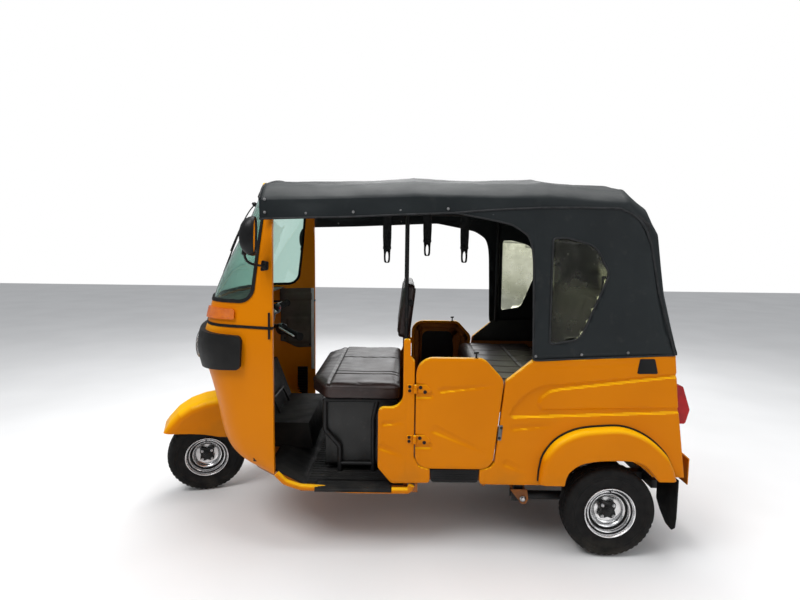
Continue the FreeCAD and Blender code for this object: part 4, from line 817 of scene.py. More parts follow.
def pressed(solid, outline, relief, side, pitch=6.0, rim=3.5):
    """A panel 600 mm out with rolled edges and a relief, on one side of the car."""
    face = flat_outline(solid, outline, "Y", PANEL_OUT * side)
    if face.normal.y * side < 0:
        bmesh.ops.reverse_faces(solid, faces=[face])
    skin = [face]
    for _ in range(3):
        ring = bmesh.ops.inset_region(solid, faces=[face], thickness=rim / 3000, use_even_offset=True)["faces"]
        skin += ring
    xs, zs = [a for a, _ in outline], [b for _, b in outline]
    for axis, low, high in ((0, min(xs), max(xs)), (2, min(zs), max(zs))):
        for k in range(1, int((high - low) / pitch)):
            mark = low + pitch * k
            anchor = spot(mark, 0, 0) if axis == 0 else spot(0, 0, mark)
            normal = Vector((1, 0, 0)) if axis == 0 else Vector((0, 0, 1))
            middle = [f for f in solid.faces if f.tag is False and abs(f.calc_center_median().y - 0.6 * side) < 1e-6
                      and f not in skin[1:]]
            geometry = middle + list({e for f in middle for e in f.edges}) + list({v for f in middle for v in f.verts})
            bmesh.ops.bisect_plane(solid, geom=geometry, dist=1e-5, plane_co=anchor, plane_no=normal)
    front = [f for f in solid.faces if abs(f.calc_center_median().y - 0.6 * side) < 1e-6]
    verts = {v for f in front for v in f.verts}
    for vert in verts:
        here = (station_of(vert.co), vert.co.z * 1000)
        edge = min(rim, away(here, outline))
        fall = rim - math.sqrt(max(0.0, rim * rim - (rim - edge) ** 2))
        vert.co.y = side * (PANEL_OUT - fall - relief(here)) / 1000
    for f in front:
        f.material_index = PAINTED
    rims = [e for e in {e for f in front for e in f.edges} if len(e.link_faces) == 1]
    out = bmesh.ops.extrude_edge_only(solid, edges=rims)["geom"]
    moved = [part for part in out if isinstance(part, bmesh.types.BMVert)]
    for vert in moved:
        vert.co.y = side * PANEL_BACK / 1000
    loop = [part for part in out if isinstance(part, bmesh.types.BMEdge) and
            all(abs(v.co.y - side * PANEL_BACK / 1000) < 1e-6 for v in part.verts)]
    for part in out:
        if isinstance(part, bmesh.types.BMFace):
            part.material_index = PAINTED
    # The panel's inside faces take the paint darkened as painted shade.
    inner = bmesh.ops.contextual_create(solid, geom=loop)["faces"]
    for f in inner:
        f.material_index = INSIDE_SHADED
    made = front + inner + [part for part in out if isinstance(part, bmesh.types.BMFace)]
    bmesh.ops.recalc_face_normals(solid, faces=made)
    for f in made:
        f.tag = True
    return inner


def dent(here, outline, depth, wall):
    """A shape pressed in to a depth over a wall's width, or raised where depth is negative."""
    gap = away(here, outline)
    return depth * (smoothstep(0, wall, gap) if within(here, outline) else 0)


def groove(here, line, depth, width):
    return depth * math.exp(-(away(here, line, False) / width) ** 2)


DOOR = rounded([(1137, 388), (1478.3, 388), (1520, 791), (1432, 885), (1137, 885)], [60, 60, 55, 55, 75])
HINGE_POCKETS = [rounded([(1130, h - 34), (1207, h - 34), (1220, h - 20), (1172, h + 36), (1130, h + 36)],
                         [4, 8, 12, 14, 4]) for h in (510, 738)]


def door_relief(here):
    down = fan(here, (1225, 760), (1490, 772), 34, 10, 7) + fan(here, (1215, 600), (1460, 470), 50, 16, 7)
    for pocket in HINGE_POCKETS:
        down = max(down, dent(here, pocket, 5.0, 8))
    return down


FRONT_POST = rounded([(972, 389), (1032, 318), (1202, 322), (1202, 383), (1153, 399), (1131, 440), (1130, 870),
                      (1112, 892), (1111, 965), (1081, 965), (1081, 661), (972, 661)],
                     [25, 25, 12, 3, 20, 20, 8, 8, 8, 8, 60, 25])
POST_LINE = [(1100, 360), (1100, 880)]


def post_relief(here):
    return fan(here, (985, 606), (1096, 606), 30, 14, 6) + fan(here, (985, 512), (1100, 452), 44, 20, 6) \
        + groove(here, POST_LINE, 1.2, 3.5)


def arch_points(first, last, steps):
    return [(2000 + 246 * math.cos(math.radians(first + (last - first) * k / steps)),
             205 + 246 * math.sin(math.radians(first + (last - first) * k / steps))) for k in range(steps + 1)]


REAR_QUARTER = rounded([(1489, 420), (1470, 397), (1424, 383), (1424, 320), (1480, 318)], [0, 14, 3, 12, 0])
REAR_QUARTER += arch_points(180 - math.degrees(math.asin(113 / 246)), math.degrees(math.asin(157 / 246)), 44)
REAR_QUARTER += [(2330, 362), (2279, 715), (2258, 912), (2254, 912), (1641, 879)]
REAR_QUARTER += rounded([(1641, 879), (1527, 785), (1489, 420)], [0, 30, 0])[1:-1]
CHANNEL = [(2300, 652), (1559, 620), (1543, 636), (1560, 668), (1600, 718), (1640, 750), (1697, 774), (2300, 837),
           (2300, 815), (1764, 748), (1722, 738), (1690, 712), (1678, 690), (1690, 668), (2300, 684)]
VENT = [(2104, 894), (2168, 895), (2185, 829), (2094, 828)]
UPPER_LINE = [(1660, 852), (2090, 872)]


def quarter_relief(here):
    down = dent(here, CHANNEL, 9.0, 11) + fan(here, (1548, 594), (1775, 600), 32, 12, 6)
    return down + fan(here, (1540, 446), (1650, 378), 46, 20, 6) + groove(here, UPPER_LINE, 1.6, 4)


def fan(here, first, last, width_first, width_last, depth):
    """A soft recess along a line: deep and wide at its first end, fading out at its last."""
    (a, b), (c, d) = first, last
    run = math.hypot(c - a, d - b)
    along = ((here[0] - a) * (c - a) + (here[1] - b) * (d - b)) / run ** 2
    off = ((here[0] - a) * (d - b) - (here[1] - b) * (c - a)) / run
    if not 0 < along < 1:
        return 0.0
    width = width_first + (width_last - width_first) * along
    return depth * (1 - along) ** 0.8 * smoothstep(0, 0.10, along) * smoothstep(0, 0.45, off / width) \
        * smoothstep(1, 0.72, off / width)


def hinge_leaves(solid, height, side, moving):
    """One hinge's leaf with its knuckle, in the panel's own paint; the fixed leaf carries the pin."""
    level, way = 600 * side, 4 * side
    if moving:
        leaf = [(1143, height - 18), (1192, height - 18), (1208, height - 8), (1178, height + 18), (1143, height + 18)]
        slab(solid, rounded(leaf, [4, 6, 8, 6, 4], 3), "Y", level, way, 1.2)
        slab(solid, oblong(1133, height + 1, 1145, height + 18), "Y", level, way)
        drum(solid, spot(1133.5, 609 * side, height + 9.5), 8, 17, (0, 0, 1), 20, 1)
    else:
        leaf = oblong(1097, height - 18, 1124, height + 18)
        slab(solid, rounded(leaf, [6, 3, 3, 6], 3), "Y", level, way, 1.2)
        slab(solid, oblong(1122, height - 18, 1134, height - 1), "Y", level, way)
        drum(solid, spot(1133.5, 609 * side, height - 9.5), 8, 17, (0, 0, 1), 20, 1)
        drum(solid, spot(1133.5, 609 * side, height), 5, 38, (0, 0, 1), 16)


def bolt(solid, centre, radius, way, height=3.5, washer=1.6):
    """A six-sided head on a washer, standing along a way."""
    way = Vector(way).normalized()
    drum(solid, centre + way * 0.0005, radius * washer, 1.0, way, 20)
    drum(solid, centre + way * (height / 2000 + 0.0008), radius, height, way, 6, 0.5)


def door_panels():
    for side, name in ((LEFT, "door_left"), (RIGHT, "door_right")):
        solid = bmesh.new()
        inner = pressed(solid, DOOR, door_relief, side)
        shelf = bmesh.ops.inset_region(solid, faces=inner, thickness=0.016, use_even_offset=False)["faces"]
        for face in shelf:
            face.material_index = 0
        bmesh.ops.inset_region(solid, faces=inner, thickness=0.005, depth=-0.004, use_even_offset=False)
        bmesh.ops.inset_region(solid, faces=inner, thickness=0.022, use_even_offset=False)
        pocket = bmesh.ops.inset_region(solid, faces=inner, thickness=0.004, depth=-0.006, use_even_offset=False)
        # The door's inside faces and its pocket take slot 1, the paint darkened as painted shade.
        for face in pocket["faces"] + inner:
            face.material_index = 1
        tinted(solid, 2, slab, rounded([(1196, 430), (1396, 430), (1408, 700), (1396, 818), (1206, 818)],
                                       [30, 30, 60, 40, 40]), "Y", 577 * side, -6 * side, 2.5)
        for height in (523, 750):
            hinge_leaves(solid, height, side, True)
            for along, rise in ((1156, 6), (1176, -14)):
                tinted(solid, 2, bolt, spot(along, 604 * side, height + rise), 5, (0, side, 0))
        panel = piece(name + "_pressing", solid, [PAINT, SHADED_INNER, BLACK], name, replaces=(name,))
        sharpened(panel, 28)


def post_panels():
    solid = bmesh.new()
    for side in (LEFT, RIGHT):
        pressed(solid, FRONT_POST, post_relief, side)
        for height in (523, 750):
            hinge_leaves(solid, height, side, False)
            for rise in (9, -9):
                tinted(solid, 2, bolt, spot(1109, 604 * side, height + rise), 4.5, (0, side, 0))
    panel = piece("front_post_pressings", solid, [PAINT, SHADED_INNER, BLACK], "body",
                  replaces=("front_quarters",))
    sharpened(panel, 28)


def quarter_panels():
    solid = bmesh.new()
    for side in (LEFT, RIGHT):
        pressed(solid, REAR_QUARTER, quarter_relief, side, pitch=7.0)
        tinted(solid, 2, slab, rounded(VENT, [6, 6, 6, 6], 2), "Y", 598 * side, 4.5 * side, 1.5)
        house = bmesh.ops.create_cone(solid, cap_ends=False, segments=72, radius1=0.249, radius2=0.249, depth=0.087,
                                      matrix=Matrix.Translation(spot(2000, 527.5 * side, 205)) @
                                      Matrix.Rotation(math.pi / 2, 4, "X"))
        walls = list({face for vert in house["verts"] for face in vert.link_faces})
        low = [face for face in walls if face.calc_center_median().z < 0.362]
        walls = [face for face in walls if face.calc_center_median().z >= 0.362]
        bmesh.ops.delete(solid, geom=low, context="FACES")
        # The wheel-house walls take the body paint darkened as painted shade.
        for face in walls:
            face.material_index = 1
        bmesh.ops.recalc_face_normals(solid, faces=walls)
        bmesh.ops.solidify(solid, geom=walls, thickness=0.004)
    panel = piece("rear_quarter_pressings", solid, [PAINT, SHADED_INNER, BLACK], "body",
                  replaces=("rear_quarters",))
    sharpened(panel, 28)


door_panels()
post_panels()
quarter_panels()


# Wheels: tyre with tread, pressed disc rim and its star-shaped hub

TYRE_HALF = [
    # across from the middle of the tyre, radius
    (0, 205.0), (16, 204.6), (33, 202.8), (44, 199.4), (50, 194.5), (53.5, 187), (55, 176), (54.5, 163),
    (52, 150), (49.5, 138), (48, 129), (48.5, 123), (49.5, 117), (46, 113.5),
]
GROOVES = (9.5, 27.0)
RIM_HALF = [
    # across towards the outside, radius: the outer face of the rim
    (45, 111), (51.5, 114), (54, 112.5), (53.5, 109), (48, 105.5), (42, 104), (38, 102.5), (36.5, 99.5), (39, 97),
    (41.5, 94.5), (39.5, 91), (30, 87.5), (21, 86), (19.5, 82), (24, 79.5), (27, 76), (25, 71.5), (16, 67), (9, 62),
    (6.5, 54), (6, 44), (6, 0.4),
]
RIM_WELL = [(45, 111), (30, 108), (20, 98), (-20, 98), (-30, 108), (-48, 113), (-53, 120), (-50, 117), (-47, 108),
            (-34, 104), (-24, 92), (-2, 88), (-1, 60), (-1, 0.4)]


def ring_of(solid, profile, steps, closed=False):
    """A profile of (along the axle, radius) turned round the Y axis."""
    base = [solid.verts.new((0, a / 1000, r / 1000)) for a, r in profile]
    edges = [solid.edges.new(pair) for pair in zip(base, base[1:] + base[:1] if closed else base[1:])]
    bmesh.ops.spin(solid, geom=base + edges, cent=(0, 0, 0), axis=(0, 1, 0), angle=2 * math.pi, steps=steps,
                   use_merge=True)


def onto_axle(solid, centre, axle):
    turn = Vector((0, 1, 0)).rotation_difference(axle)
    bmesh.ops.rotate(solid, verts=solid.verts, cent=(0, 0, 0), matrix=turn.to_matrix())
    bmesh.ops.translate(solid, verts=solid.verts, vec=centre)


def tyre_profile():
    """The closed section: tread with two grooves each side, sidewall ribs and the bead."""
    half = []
    for (a, ra), (b, rb) in zip(TYRE_HALF, TYRE_HALF[1:]):
        half.append((a, ra))
        for mark in GROOVES:
            if a < mark < b:
                level = ra + (rb - ra) * (mark - a) / (b - a)
                half += [(mark - 2.2, level), (mark - 1.4, level - 5), (mark + 1.4, level - 5.3),
                         (mark + 2.2, level - 0.3)]
        if 150 < ra < 180:
            middle = ((a + b) / 2, (ra + rb) / 2)
            half += [(middle[0] - 0.1, middle[1] + 2.2), (middle[0] + 1.1, middle[1] + 0.8),
                     (middle[0] + 1.0, middle[1] - 1.0), (middle[0] - 0.2, middle[1] - 2.2)]
    half.append(TYRE_HALF[-1])
    inner = [(38, 114), (0, 112)]
    right = half + inner
    left = [(-a, r) for a, r in reversed(right)][1:-1]
    return right + left


def tyre(name, node, body, centre, axle):
    solid = bmesh.new()
    ring_of(solid, tyre_profile(), 144, closed=True)
    bmesh.ops.recalc_face_normals(solid, faces=solid.faces)
    # Blocks: every other strip of the shoulder stands a little lower than its neighbour.
    for vert in solid.verts:
        radius = math.hypot(vert.co.x, vert.co.z)
        across = abs(vert.co.y) * 1000
        if radius > 0.19 and across > 28:
            turn = math.degrees(math.atan2(vert.co.z, vert.co.x)) % 360
            shift = 0.5 if vert.co.y > 0 else 0.0
            block = (turn / 7.5 + shift) % 1
            if block > 0.72 and radius < 0.2045:
                vert.co.x *= 1 - 0.0035 / radius
                vert.co.z *= 1 - 0.0035 / radius
    onto_axle(solid, centre, axle)
    sharpened(piece(name, solid, TYRE, body, replaces=(node,)), 40)


def hub_star(solid, outward):
    """A plate with four lobes in the middle of the dish."""
    star = []
    for k in range(60):
        turn = 2 * math.pi * k / 60
        lobe = 31 + 15 * (0.5 + 0.5 * math.cos(4 * turn + math.pi)) ** 0.8
        star.append(Vector((lobe * math.cos(turn) / 1000, 15.5 * outward / 1000, lobe * math.sin(turn) / 1000)))
    face = solid.faces.new([solid.verts.new(at) for at in star])
    thickened(solid, [face], Vector((0, 0.007 * outward, 0)))


def rim(name, node, body, centre, axle, outward):
    """A stepped steel rim on both sides, with a four-lobed hub in the outer dish."""
    solid = bmesh.new()
    for profile in (RIM_HALF, RIM_WELL):
        ring_of(solid, [(a * outward, r) for a, r in profile], 96)
    bmesh.ops.remove_doubles(solid, verts=solid.verts, dist=1e-5)
    bmesh.ops.recalc_face_normals(solid, faces=solid.faces)
    # Painted shade: the grooves between the steps of the dish take the black plastic, darkened as if in shadow.
    for face in solid.faces:
        middle = face.calc_center_median()
        radius = math.hypot(middle.x, middle.z) * 1000
        if (81 < radius < 88.5 or 98.5 < radius < 103.5) and middle.y * outward > 0.012:
            face.material_index = 1
    # Hub: the star, a drum in it and the wheel nuts between its lobes.
    tinted(solid, 2, hub_star, outward)
    for radius, deep, level, tint in ((21, 12, 24, 2), (15, 10, 32, 2), (9.5, 5, 38, 2)):
        tinted(solid, tint, drum, Vector((0, level * outward / 1000, 0)), radius, deep, (0, 1, 0), 32, 1.5)
    for k in range(4):
        turn = 2 * math.pi * (k + 0.5) / 4
        at = Vector((35 * math.cos(turn) / 1000, 25 * outward / 1000, 35 * math.sin(turn) / 1000))
        tinted(solid, 3, drum, at, 7.5, 12, (0, 1, 0), 6, 0.8)
        tinted(solid, 3, drum, at + Vector((0, 0.009 * outward, 0)), 3.6, 8, (0, 1, 0), 12, 0.6)
    # Valve stem
    tinted(solid, 1, drum, Vector((0.0, 47 * outward / 1000, 0.0975)), 3, 20, (0, outward, -0.35), 12, 0.8)
    onto_axle(solid, centre, axle)
    bmesh.ops.recalc_face_normals(solid, faces=solid.faces)
    sharpened(piece(name, solid, [SILVER, BLACK, STEEL, BRIGHT], body, replaces=(node,)), 40)


FRONT_AXLE_LINE = Vector((-0.290083, 0.945519, 0.147805)).normalized()
WHEELS = [
    # body, tyre node, rim node, centre, axle, way out
    ("front_wheel", "front_tyre", "front_rim", Vector((-1.102117, 0.014196, 0.207278)), FRONT_AXLE_LINE, -1),
    ("rear_wheel_left", "rear_tyre_left", "rear_rim_left", spot(2000, -572, 205), Vector((0, 1, 0)), -1),
    ("rear_wheel_right", "rear_tyre_right", "rear_rim_right", spot(2000, 572, 205), Vector((0, 1, 0)), 1),
]
for body, tyre_node, rim_node, centre, axle, outward in WHEELS:
    tyre(body + "_tread", tyre_node, body, centre, axle)
    rim(body + "_disc", rim_node, body, centre, axle, outward)


# Outside fittings: flares, step and latch plates, mirrors, wiper and flaps


def along_curve(points, count):
    """Evenly numbered points on a smooth curve through a line of 2-D or 3-D corners."""
    knots = [Vector(p) for p in points]
    knots = [knots[0] * 2 - knots[1]] + knots + [knots[-1] * 2 - knots[-2]]
    spans = len(knots) - 3
    drawn = []
    for k in range(count + 1):
        at = min(spans * k / count, spans - 1e-9)
        n, t = int(at), at % 1
        a, b, c, d = knots[n:n + 4]
        drawn.append(0.5 * (b * 2 + (c - a) * t + (a * 2 - b * 5 + c * 4 - d) * t * t
                            + (b * 3 - a - c * 3 + d) * t ** 3))
    return drawn


def sheet_grid(solid, rows):
    """A skin through rows of points, made from one grid."""
    columns = len(rows[0])
    before = set(solid.verts)
    bmesh.ops.create_grid(solid, x_segments=len(rows) - 1, y_segments=columns - 1, size=1)
    grid = sorted((v for v in solid.verts if v not in before), key=lambda v: (round(v.co.x, 5), v.co.y))
    for n, vert in enumerate(grid):
        row, column = divmod(n, columns)
        vert.co = rows[row][column]
    faces = list({face for vert in grid for face in vert.link_faces})
    bmesh.ops.recalc_face_normals(solid, faces=faces)
    return faces


def faced_grid(solid, rows, way):
    """A sheet_grid that on the whole looks along a way."""
    faces = sheet_grid(solid, rows)
    if sum((face.normal * face.calc_area() for face in faces), Vector()).dot(way) <= 0:
        bmesh.ops.reverse_faces(solid, faces=faces)
    return faces

FLARE_OUTER = [(1683, 338), (1688, 400), (1705, 465), (1759, 533), (1843, 576), (1949, 591), (2048, 590),
               (2145, 551), (2226, 481), (2262, 419), (2281, 362)]
FLARE_OPEN = [(1790, 338), (1797, 372), (1812, 400), (1842, 424), (1875, 438), (1940, 449), (2000, 451), (2060, 451),
              (2108, 444), (2142, 424), (2170, 395), (2196, 362)]


def flares():
    outer, opening = along_curve(FLARE_OUTER, 72), along_curve(FLARE_OPEN, 72)
    solid = bmesh.new()
    lines = []
    for side in (LEFT, RIGHT):
        rows = []
        for first, last in zip(outer, opening):
            length = (last - first).length
            way = (last - first) / length
            section = [(0, 600), (0, 611), (0, 622)]
            section += [(28 - 28 * math.cos(math.radians(a)), 622 + 27 * math.sin(math.radians(a)))
                        for a in range(10, 91, 10)]
            section += [(28 + (length - 36) * k / 4, 649) for k in range(1, 5)]
            section += [(length - 8 + 8 * math.sin(math.radians(a)), 641 + 8 * math.cos(math.radians(a)))
                        for a in range(20, 91, 17)]
            section += [(length, 628), (length, 614)]
            rows.append([spot(*((first + way * t)[0], y * side, (first + way * t)[1])) for t, y in section])
        faced_grid(solid, rows, Vector((0, side, 0)))
        lines.append(([spot(at[0] + (at[0] - 1980) * 0.006, 602 * side, at[1] + 3) for at in outer], False))
    bmesh.ops.solidify(solid, geom=solid.faces[:], thickness=0.0035)
    sharpened(piece("rear_flares", solid, PAINT, replaces=("fender_flares",)), 50)
    tube("flare_piping", lines, 4.6, RUBBER, resolution=3)


def plates_and_steps():
    """Black step under the door, latch plates, pull pins, pillar strips and the canopy's press studs."""
    solid = bmesh.new()
    for side in (LEFT, RIGHT):
        step = rounded([(1203, 383), (1209, 322), (1417, 322), (1423, 383)], [0, 14, 14, 0])
        tinted(solid, 0, slab, step, "Y", 592 * side, -26 * side, 3)
        for height in (334, 345, 356, 367):
            tinted(solid, 0, slab, oblong(1216, height, 1410, height + 5),
                   "Y", 591 * side, 3 * side, 1)
        tinted(solid, 0, slab, [(493, 958), (502, 959), (503, 1075), (494, 1075)], "Y", 596 * side, 6 * side, 1.5)
        tinted(solid, 1, slab, rounded([(1497, 522), (1514, 522), (1520, 591), (1503, 591)], [3, 3, 3, 3], 2),
               "Y", 599 * side, 3.5 * side, 0.8)
        for along, height in ((1513, 579), (1505, 533)):
            tinted(solid, 2, bolt, spot(along, 602 * side, height), 4, (0, side, 0))
        for along, height in ((486, 1556), (486, 1502), (660, 1500), (860, 1508), (1060, 1516), (1260, 1526),
                              (1450, 1500), (1652, 900), (1850, 910), (2050, 921)):
            tinted(solid, 1, drum, spot(along, 601.5 * side, height), 6, 5, (0, side, 0), 20, 1.5)
    piece("edge_fittings", solid, [BLACK, CAST, STEEL])
    for side, body in ((LEFT, "door_left"), (RIGHT, "door_right")):
        solid = bmesh.new()
        drum(solid, spot(1398, 584 * side, 895), 3.6, 24, (0, 0, 1), 16)
        drum(solid, spot(1398, 584 * side, 908), 4.6, 22, (1, 0, 0.1), 16, 2)
        drum(solid, spot(1398, 584 * side, 884.5), 9, 3, (0, 0, 1), 20, 1)
        piece(body + "_pin", solid, BLACK, body)


def ring_at(solid, centre, first, second, half_first, half_second, power=2.6, count=40):
    """A rounded-square ring of vertices about a centre, in a plane of two directions."""
    made = bmesh.ops.create_circle(solid, cap_ends=False, segments=count, radius=1)["verts"]
    for n, vert in enumerate(made):
        turn = 2 * math.pi * n / count
        a = math.copysign(abs(math.cos(turn)) ** (2 / power), math.cos(turn)) * half_first
        b = math.copysign(abs(math.sin(turn)) ** (2 / power), math.sin(turn)) * half_second
        vert.co = centre + first * a + second * b
    return list({edge for vert in made for edge in vert.link_edges})


def lofted(solid, rings, cap_first=True):
    """Bridge rings in a row, then close the last one and, if wanted, the first."""
    before = set(solid.faces)
    for first, last in zip(rings, rings[1:]):
        bmesh.ops.bridge_loops(solid, edges=first + last)
    for ring in (rings[0], rings[-1]) if cap_first else (rings[-1],):
        bmesh.ops.contextual_create(solid, geom=ring)
    bmesh.ops.recalc_face_normals(solid, faces=[face for face in solid.faces if face not in before])


def mirror_glass():
    glass = Finish("mirror_glass", roughness=0.03, metallic=1.0)
    glass.tint((0.80, 0.82, 0.84), (0.86, 0.88, 0.90), glass.cloud(3, 2))
    return glass.material


MIRROR = mirror_glass()
# Mirror head: how deep each ring lies in millimetres, and its share of the full size.
MIRROR_SHELL = [(0, 0.93), (-1.5, 0.975), (-5, 1.0), (-14, 0.995), (-26, 0.95), (-38, 0.865), (-49, 0.74), (-57, 0.58),
                (-62, 0.40), (-65, 0.20), (-66, 0.06)]
MIRROR_LIP = [(0, 0.93), (-3, 0.915), (-5, 0.90)]


def mirror_heads():
    solid = bmesh.new()
    arms = []
    for side in (LEFT, RIGHT):
        centre = spot(463, 667 * side, 1401)
        face_way = Vector((1, -0.10 * side, -0.03)).normalized()
        across = Vector((0.10 * side, 1, 0)).normalized()
        rise = face_way.cross(across)
        before = set(solid.faces)
        for profile in (MIRROR_SHELL, MIRROR_LIP):
            lofted(solid, [ring_at(solid, centre + face_way * (deep / 1000), across, rise, 0.054 * share, 0.082 * share)
                           for deep, share in profile], cap_first=False)
        glass = max((face for face in solid.faces if face not in before), key=lambda face: face.calc_area())
        glass.material_index = 1
        arms.append(([spot(478, 590 * side, 1276), spot(452, 612 * side, 1278), spot(424, 640 * side, 1290),
                      spot(412, 658 * side, 1316), spot(416, 664 * side, 1346)], False))
        tinted(solid, 0, drum, spot(414, 663 * side, 1334), 10, 22, (0.12, 0, 1), 24, 3)
        tinted(solid, 0, slab, rounded([(462, 1252), (496, 1258), (498, 1294), (468, 1300)], [6, 6, 6, 6], 2),
               "Y", 588 * side, 8 * side, 1.5)
        tinted(solid, 0, drum, spot(478, 598 * side, 1276), 11, 10, (0, side, 0), 24, 3)
        for along, height in ((482, 1264), (484, 1289)):
            tinted(solid, 2, bolt, spot(along, 596 * side, height), 3.6, (0, side, 0))
    bmesh.ops.remove_doubles(solid, verts=solid.verts, dist=1e-6)
    heads = piece("mirror_heads", solid, [BLACK, MIRROR, STEEL], replaces=("mirrors",))
    tube("mirror_arms", arms, 5.5, BLACK, resolution=8)
    sharpened(heads, 45)


SCREEN_LINE = [(1108, 116, 190), (1350, 226, 294), (1700, 382, 440)]


def on_screen(across, height, out=0.0):
    """A point of the windscreen's front at a height, moved out by some millimetres."""
    for (low, nose, end), (top, nose_up, end_up) in zip(SCREEN_LINE, SCREEN_LINE[1:]):
        if height <= top:
            break
    t = (height - low) / (top - low)
    middle, edge = nose + (nose_up - nose) * t, end + (end_up - end) * t
    return spot(middle + (edge - middle) * (across / 400) ** 2 - out * 0.9, across, height + out * 0.42)


def wiper():
    arm = [on_screen(-150, 1560, 4), on_screen(-168, 1530, 14), on_screen(-205, 1455, 16), on_screen(-252, 1363, 14),
           on_screen(-270, 1331, 11)]
    blade = [on_screen(-270 - 45 * t, 1331 + 92 * t, 5) for t in (1.3, 0.9, 0.5, 0, -0.5, -0.9, -1.2)]
    tube("wiper_arm", [(arm, False)], 3.0, BLACK, resolution=5)
    tube("wiper_blade", [(blade, False)], 3.6, RUBBER, resolution=4)
    solid = bmesh.new()
    drum(solid, on_screen(-150, 1562, 4), 11, 16, (-0.9, 0, 0.42), 24, 3)
    drum(solid, on_screen(-150, 1562, 14), 7, 8, (-0.9, 0, 0.42), 6, 1)
    drum(solid, on_screen(-270, 1331, 9), 5, 9, (-0.9, 0, 0.42), 16, 1.5)
    piece("wiper_joints", solid, BLACK)


FLAP = [(-628, 362), (-628, 190), (-622, 140), (-596, 118), (-540, 122), (-480, 158), (-440, 196), (-440, 362)]


def tail_fittings():
    """Mud flaps with their ribs, steel strips and bolts."""
    solid = bmesh.new()
    for side in (LEFT, RIGHT):
        flap = [(y * -side, z) for y, z in FLAP]
        tinted(solid, 0, slab, rounded(flap, [2, 30, 20, 14, 20, 20, 14, 2], 4), "X", 2287, 6, 1.5)
        tinted(solid, 1, slab, oblong(446 * side, 340, 622 * side, 358), "X", 2293, 3, 1)
        for across in (466, 526, 586):
            tinted(solid, 2, bolt, spot(2295.5, across * side, 349), 4, (1, 0, 0))
        for across in (530, 556, 582, 608):
            tinted(solid, 0, slab, oblong(across * side, 175, (across + 5) * side, 325), "X", 2292.5, 2, 0.6)
    flaps = piece("mud_flap_sheets", solid, [RUBBER, STEEL, BRIGHT], replaces=("mud_flaps",))
    sharpened(flaps, 40)


flares()
plates_and_steps()
mirror_heads()
wiper()
tail_fittings()


# Seats: each pad is swollen as cloth, then its seams are sewn in

BACKREST_TILT, BENCH_TILT = 7, 16


def swollen(made, voxel, cap, pressure=4.0):
    """Blow a pad up as cloth and keep each point within a distance of where it was."""
    shaped_by(made, "REMESH", mode="VOXEL", voxel_size=voxel, use_smooth_shade=True)
    settle(made)
    before = [vert.co.copy() for vert in made.data.vertices]
    settings = made.modifiers.new("swell", "CLOTH").settings
    for key, value in (("quality", 4), ("mass", 0.4), ("tension_stiffness", 22), ("compression_stiffness", 22),
                       ("shear_stiffness", 12), ("bending_stiffness", 1.6), ("use_pressure", True),
                       ("uniform_pressure_force", pressure)):
        setattr(settings, key, value)
    settings.effector_weights.gravity = 0
    scene = bpy.context.scene
    scene.frame_start, scene.frame_end = 1, 20
    for frame_number in range(1, 21):
        scene.frame_set(frame_number)
    settle(made)
    scene.frame_set(1)
    for vert, was in zip(made.data.vertices, before):
        move = vert.co - was
        if move.length > cap:
            vert.co = was + move * (cap / move.length)
    shaped_by(made, "SUBSURF", levels=1, render_levels=1)
    settle(made)


def sewn(made, furrow, low=None):
    """Press seams into a pad and keep it above a height."""
    solid = bmesh.new()
    solid.from_mesh(made.data)
    solid.normal_update()
    moves = [(vert, vert.normal * (-furrow(vert.co, vert.normal) / 1000)) for vert in solid.verts]
    for vert, move in moves:
        vert.co += move
        if low is not None:
            vert.co.z = max(low, vert.co.z)
    for face in solid.faces:
        face.smooth = True
    solid.to_mesh(made.data)
    solid.free()


def line_furrow(value, marks, depth=5.0, width=5.0):
    return sum(depth * math.exp(-((value - mark) / width) ** 2) for mark in marks)


def pad(name, solid, node, voxel, cap, furrow, low=None):
    """A seat pad in place of a CAD cushion: swollen and sewn."""
    bmesh.ops.recalc_face_normals(solid, faces=solid.faces)
    made = piece(name, solid, SEAT, "body", replaces=(node,))
    swollen(made, voxel, cap)
    sewn(made, furrow, low)

CUSHION = [(634, -312), (713, -474), (1072, -474), (1072, 474), (713, 474), (634, 312)]


def cushion_furrow(point, normal):
    along, across = station_of(point), point.y * 1000
    if normal.z < 0.5:
        return -line_furrow(point.z * 1000, (714,), 3.2, 3.5)
    depth = line_furrow(along, (738,), 6, 6)
    if along > 738:
        depth += line_furrow(across, (137, -211, -269), 5.5, 5)
        depth += 2.2 * math.exp(-((across + 395) / 40) ** 2)
    # A sat-on hollow and small wrinkles that run to the seams.
    depth += 7 * math.exp(-((along - 890) / 130) ** 2 - ((across + 40) / 190) ** 2)
    depth += 1.1 * math.sin(along * 0.11 + 2 * math.sin(across * 0.021)) * math.exp(-abs(across - 137) / 60)
    return depth + 0.9 * math.sin(across * 0.085 + 1.5 * math.sin(along * 0.03)) * math.exp(-abs(along - 738) / 50)


def driver_seat():
    solid = bmesh.new()
    slab(solid, rounded(CUSHION, [46, 46, 24, 24, 46, 46], 12), "Z", 662, 64, 12, 3)
    pad("driver_seat_pad", solid, "driver_cushion", 0.008, 0.009, cushion_furrow, 0.6615)


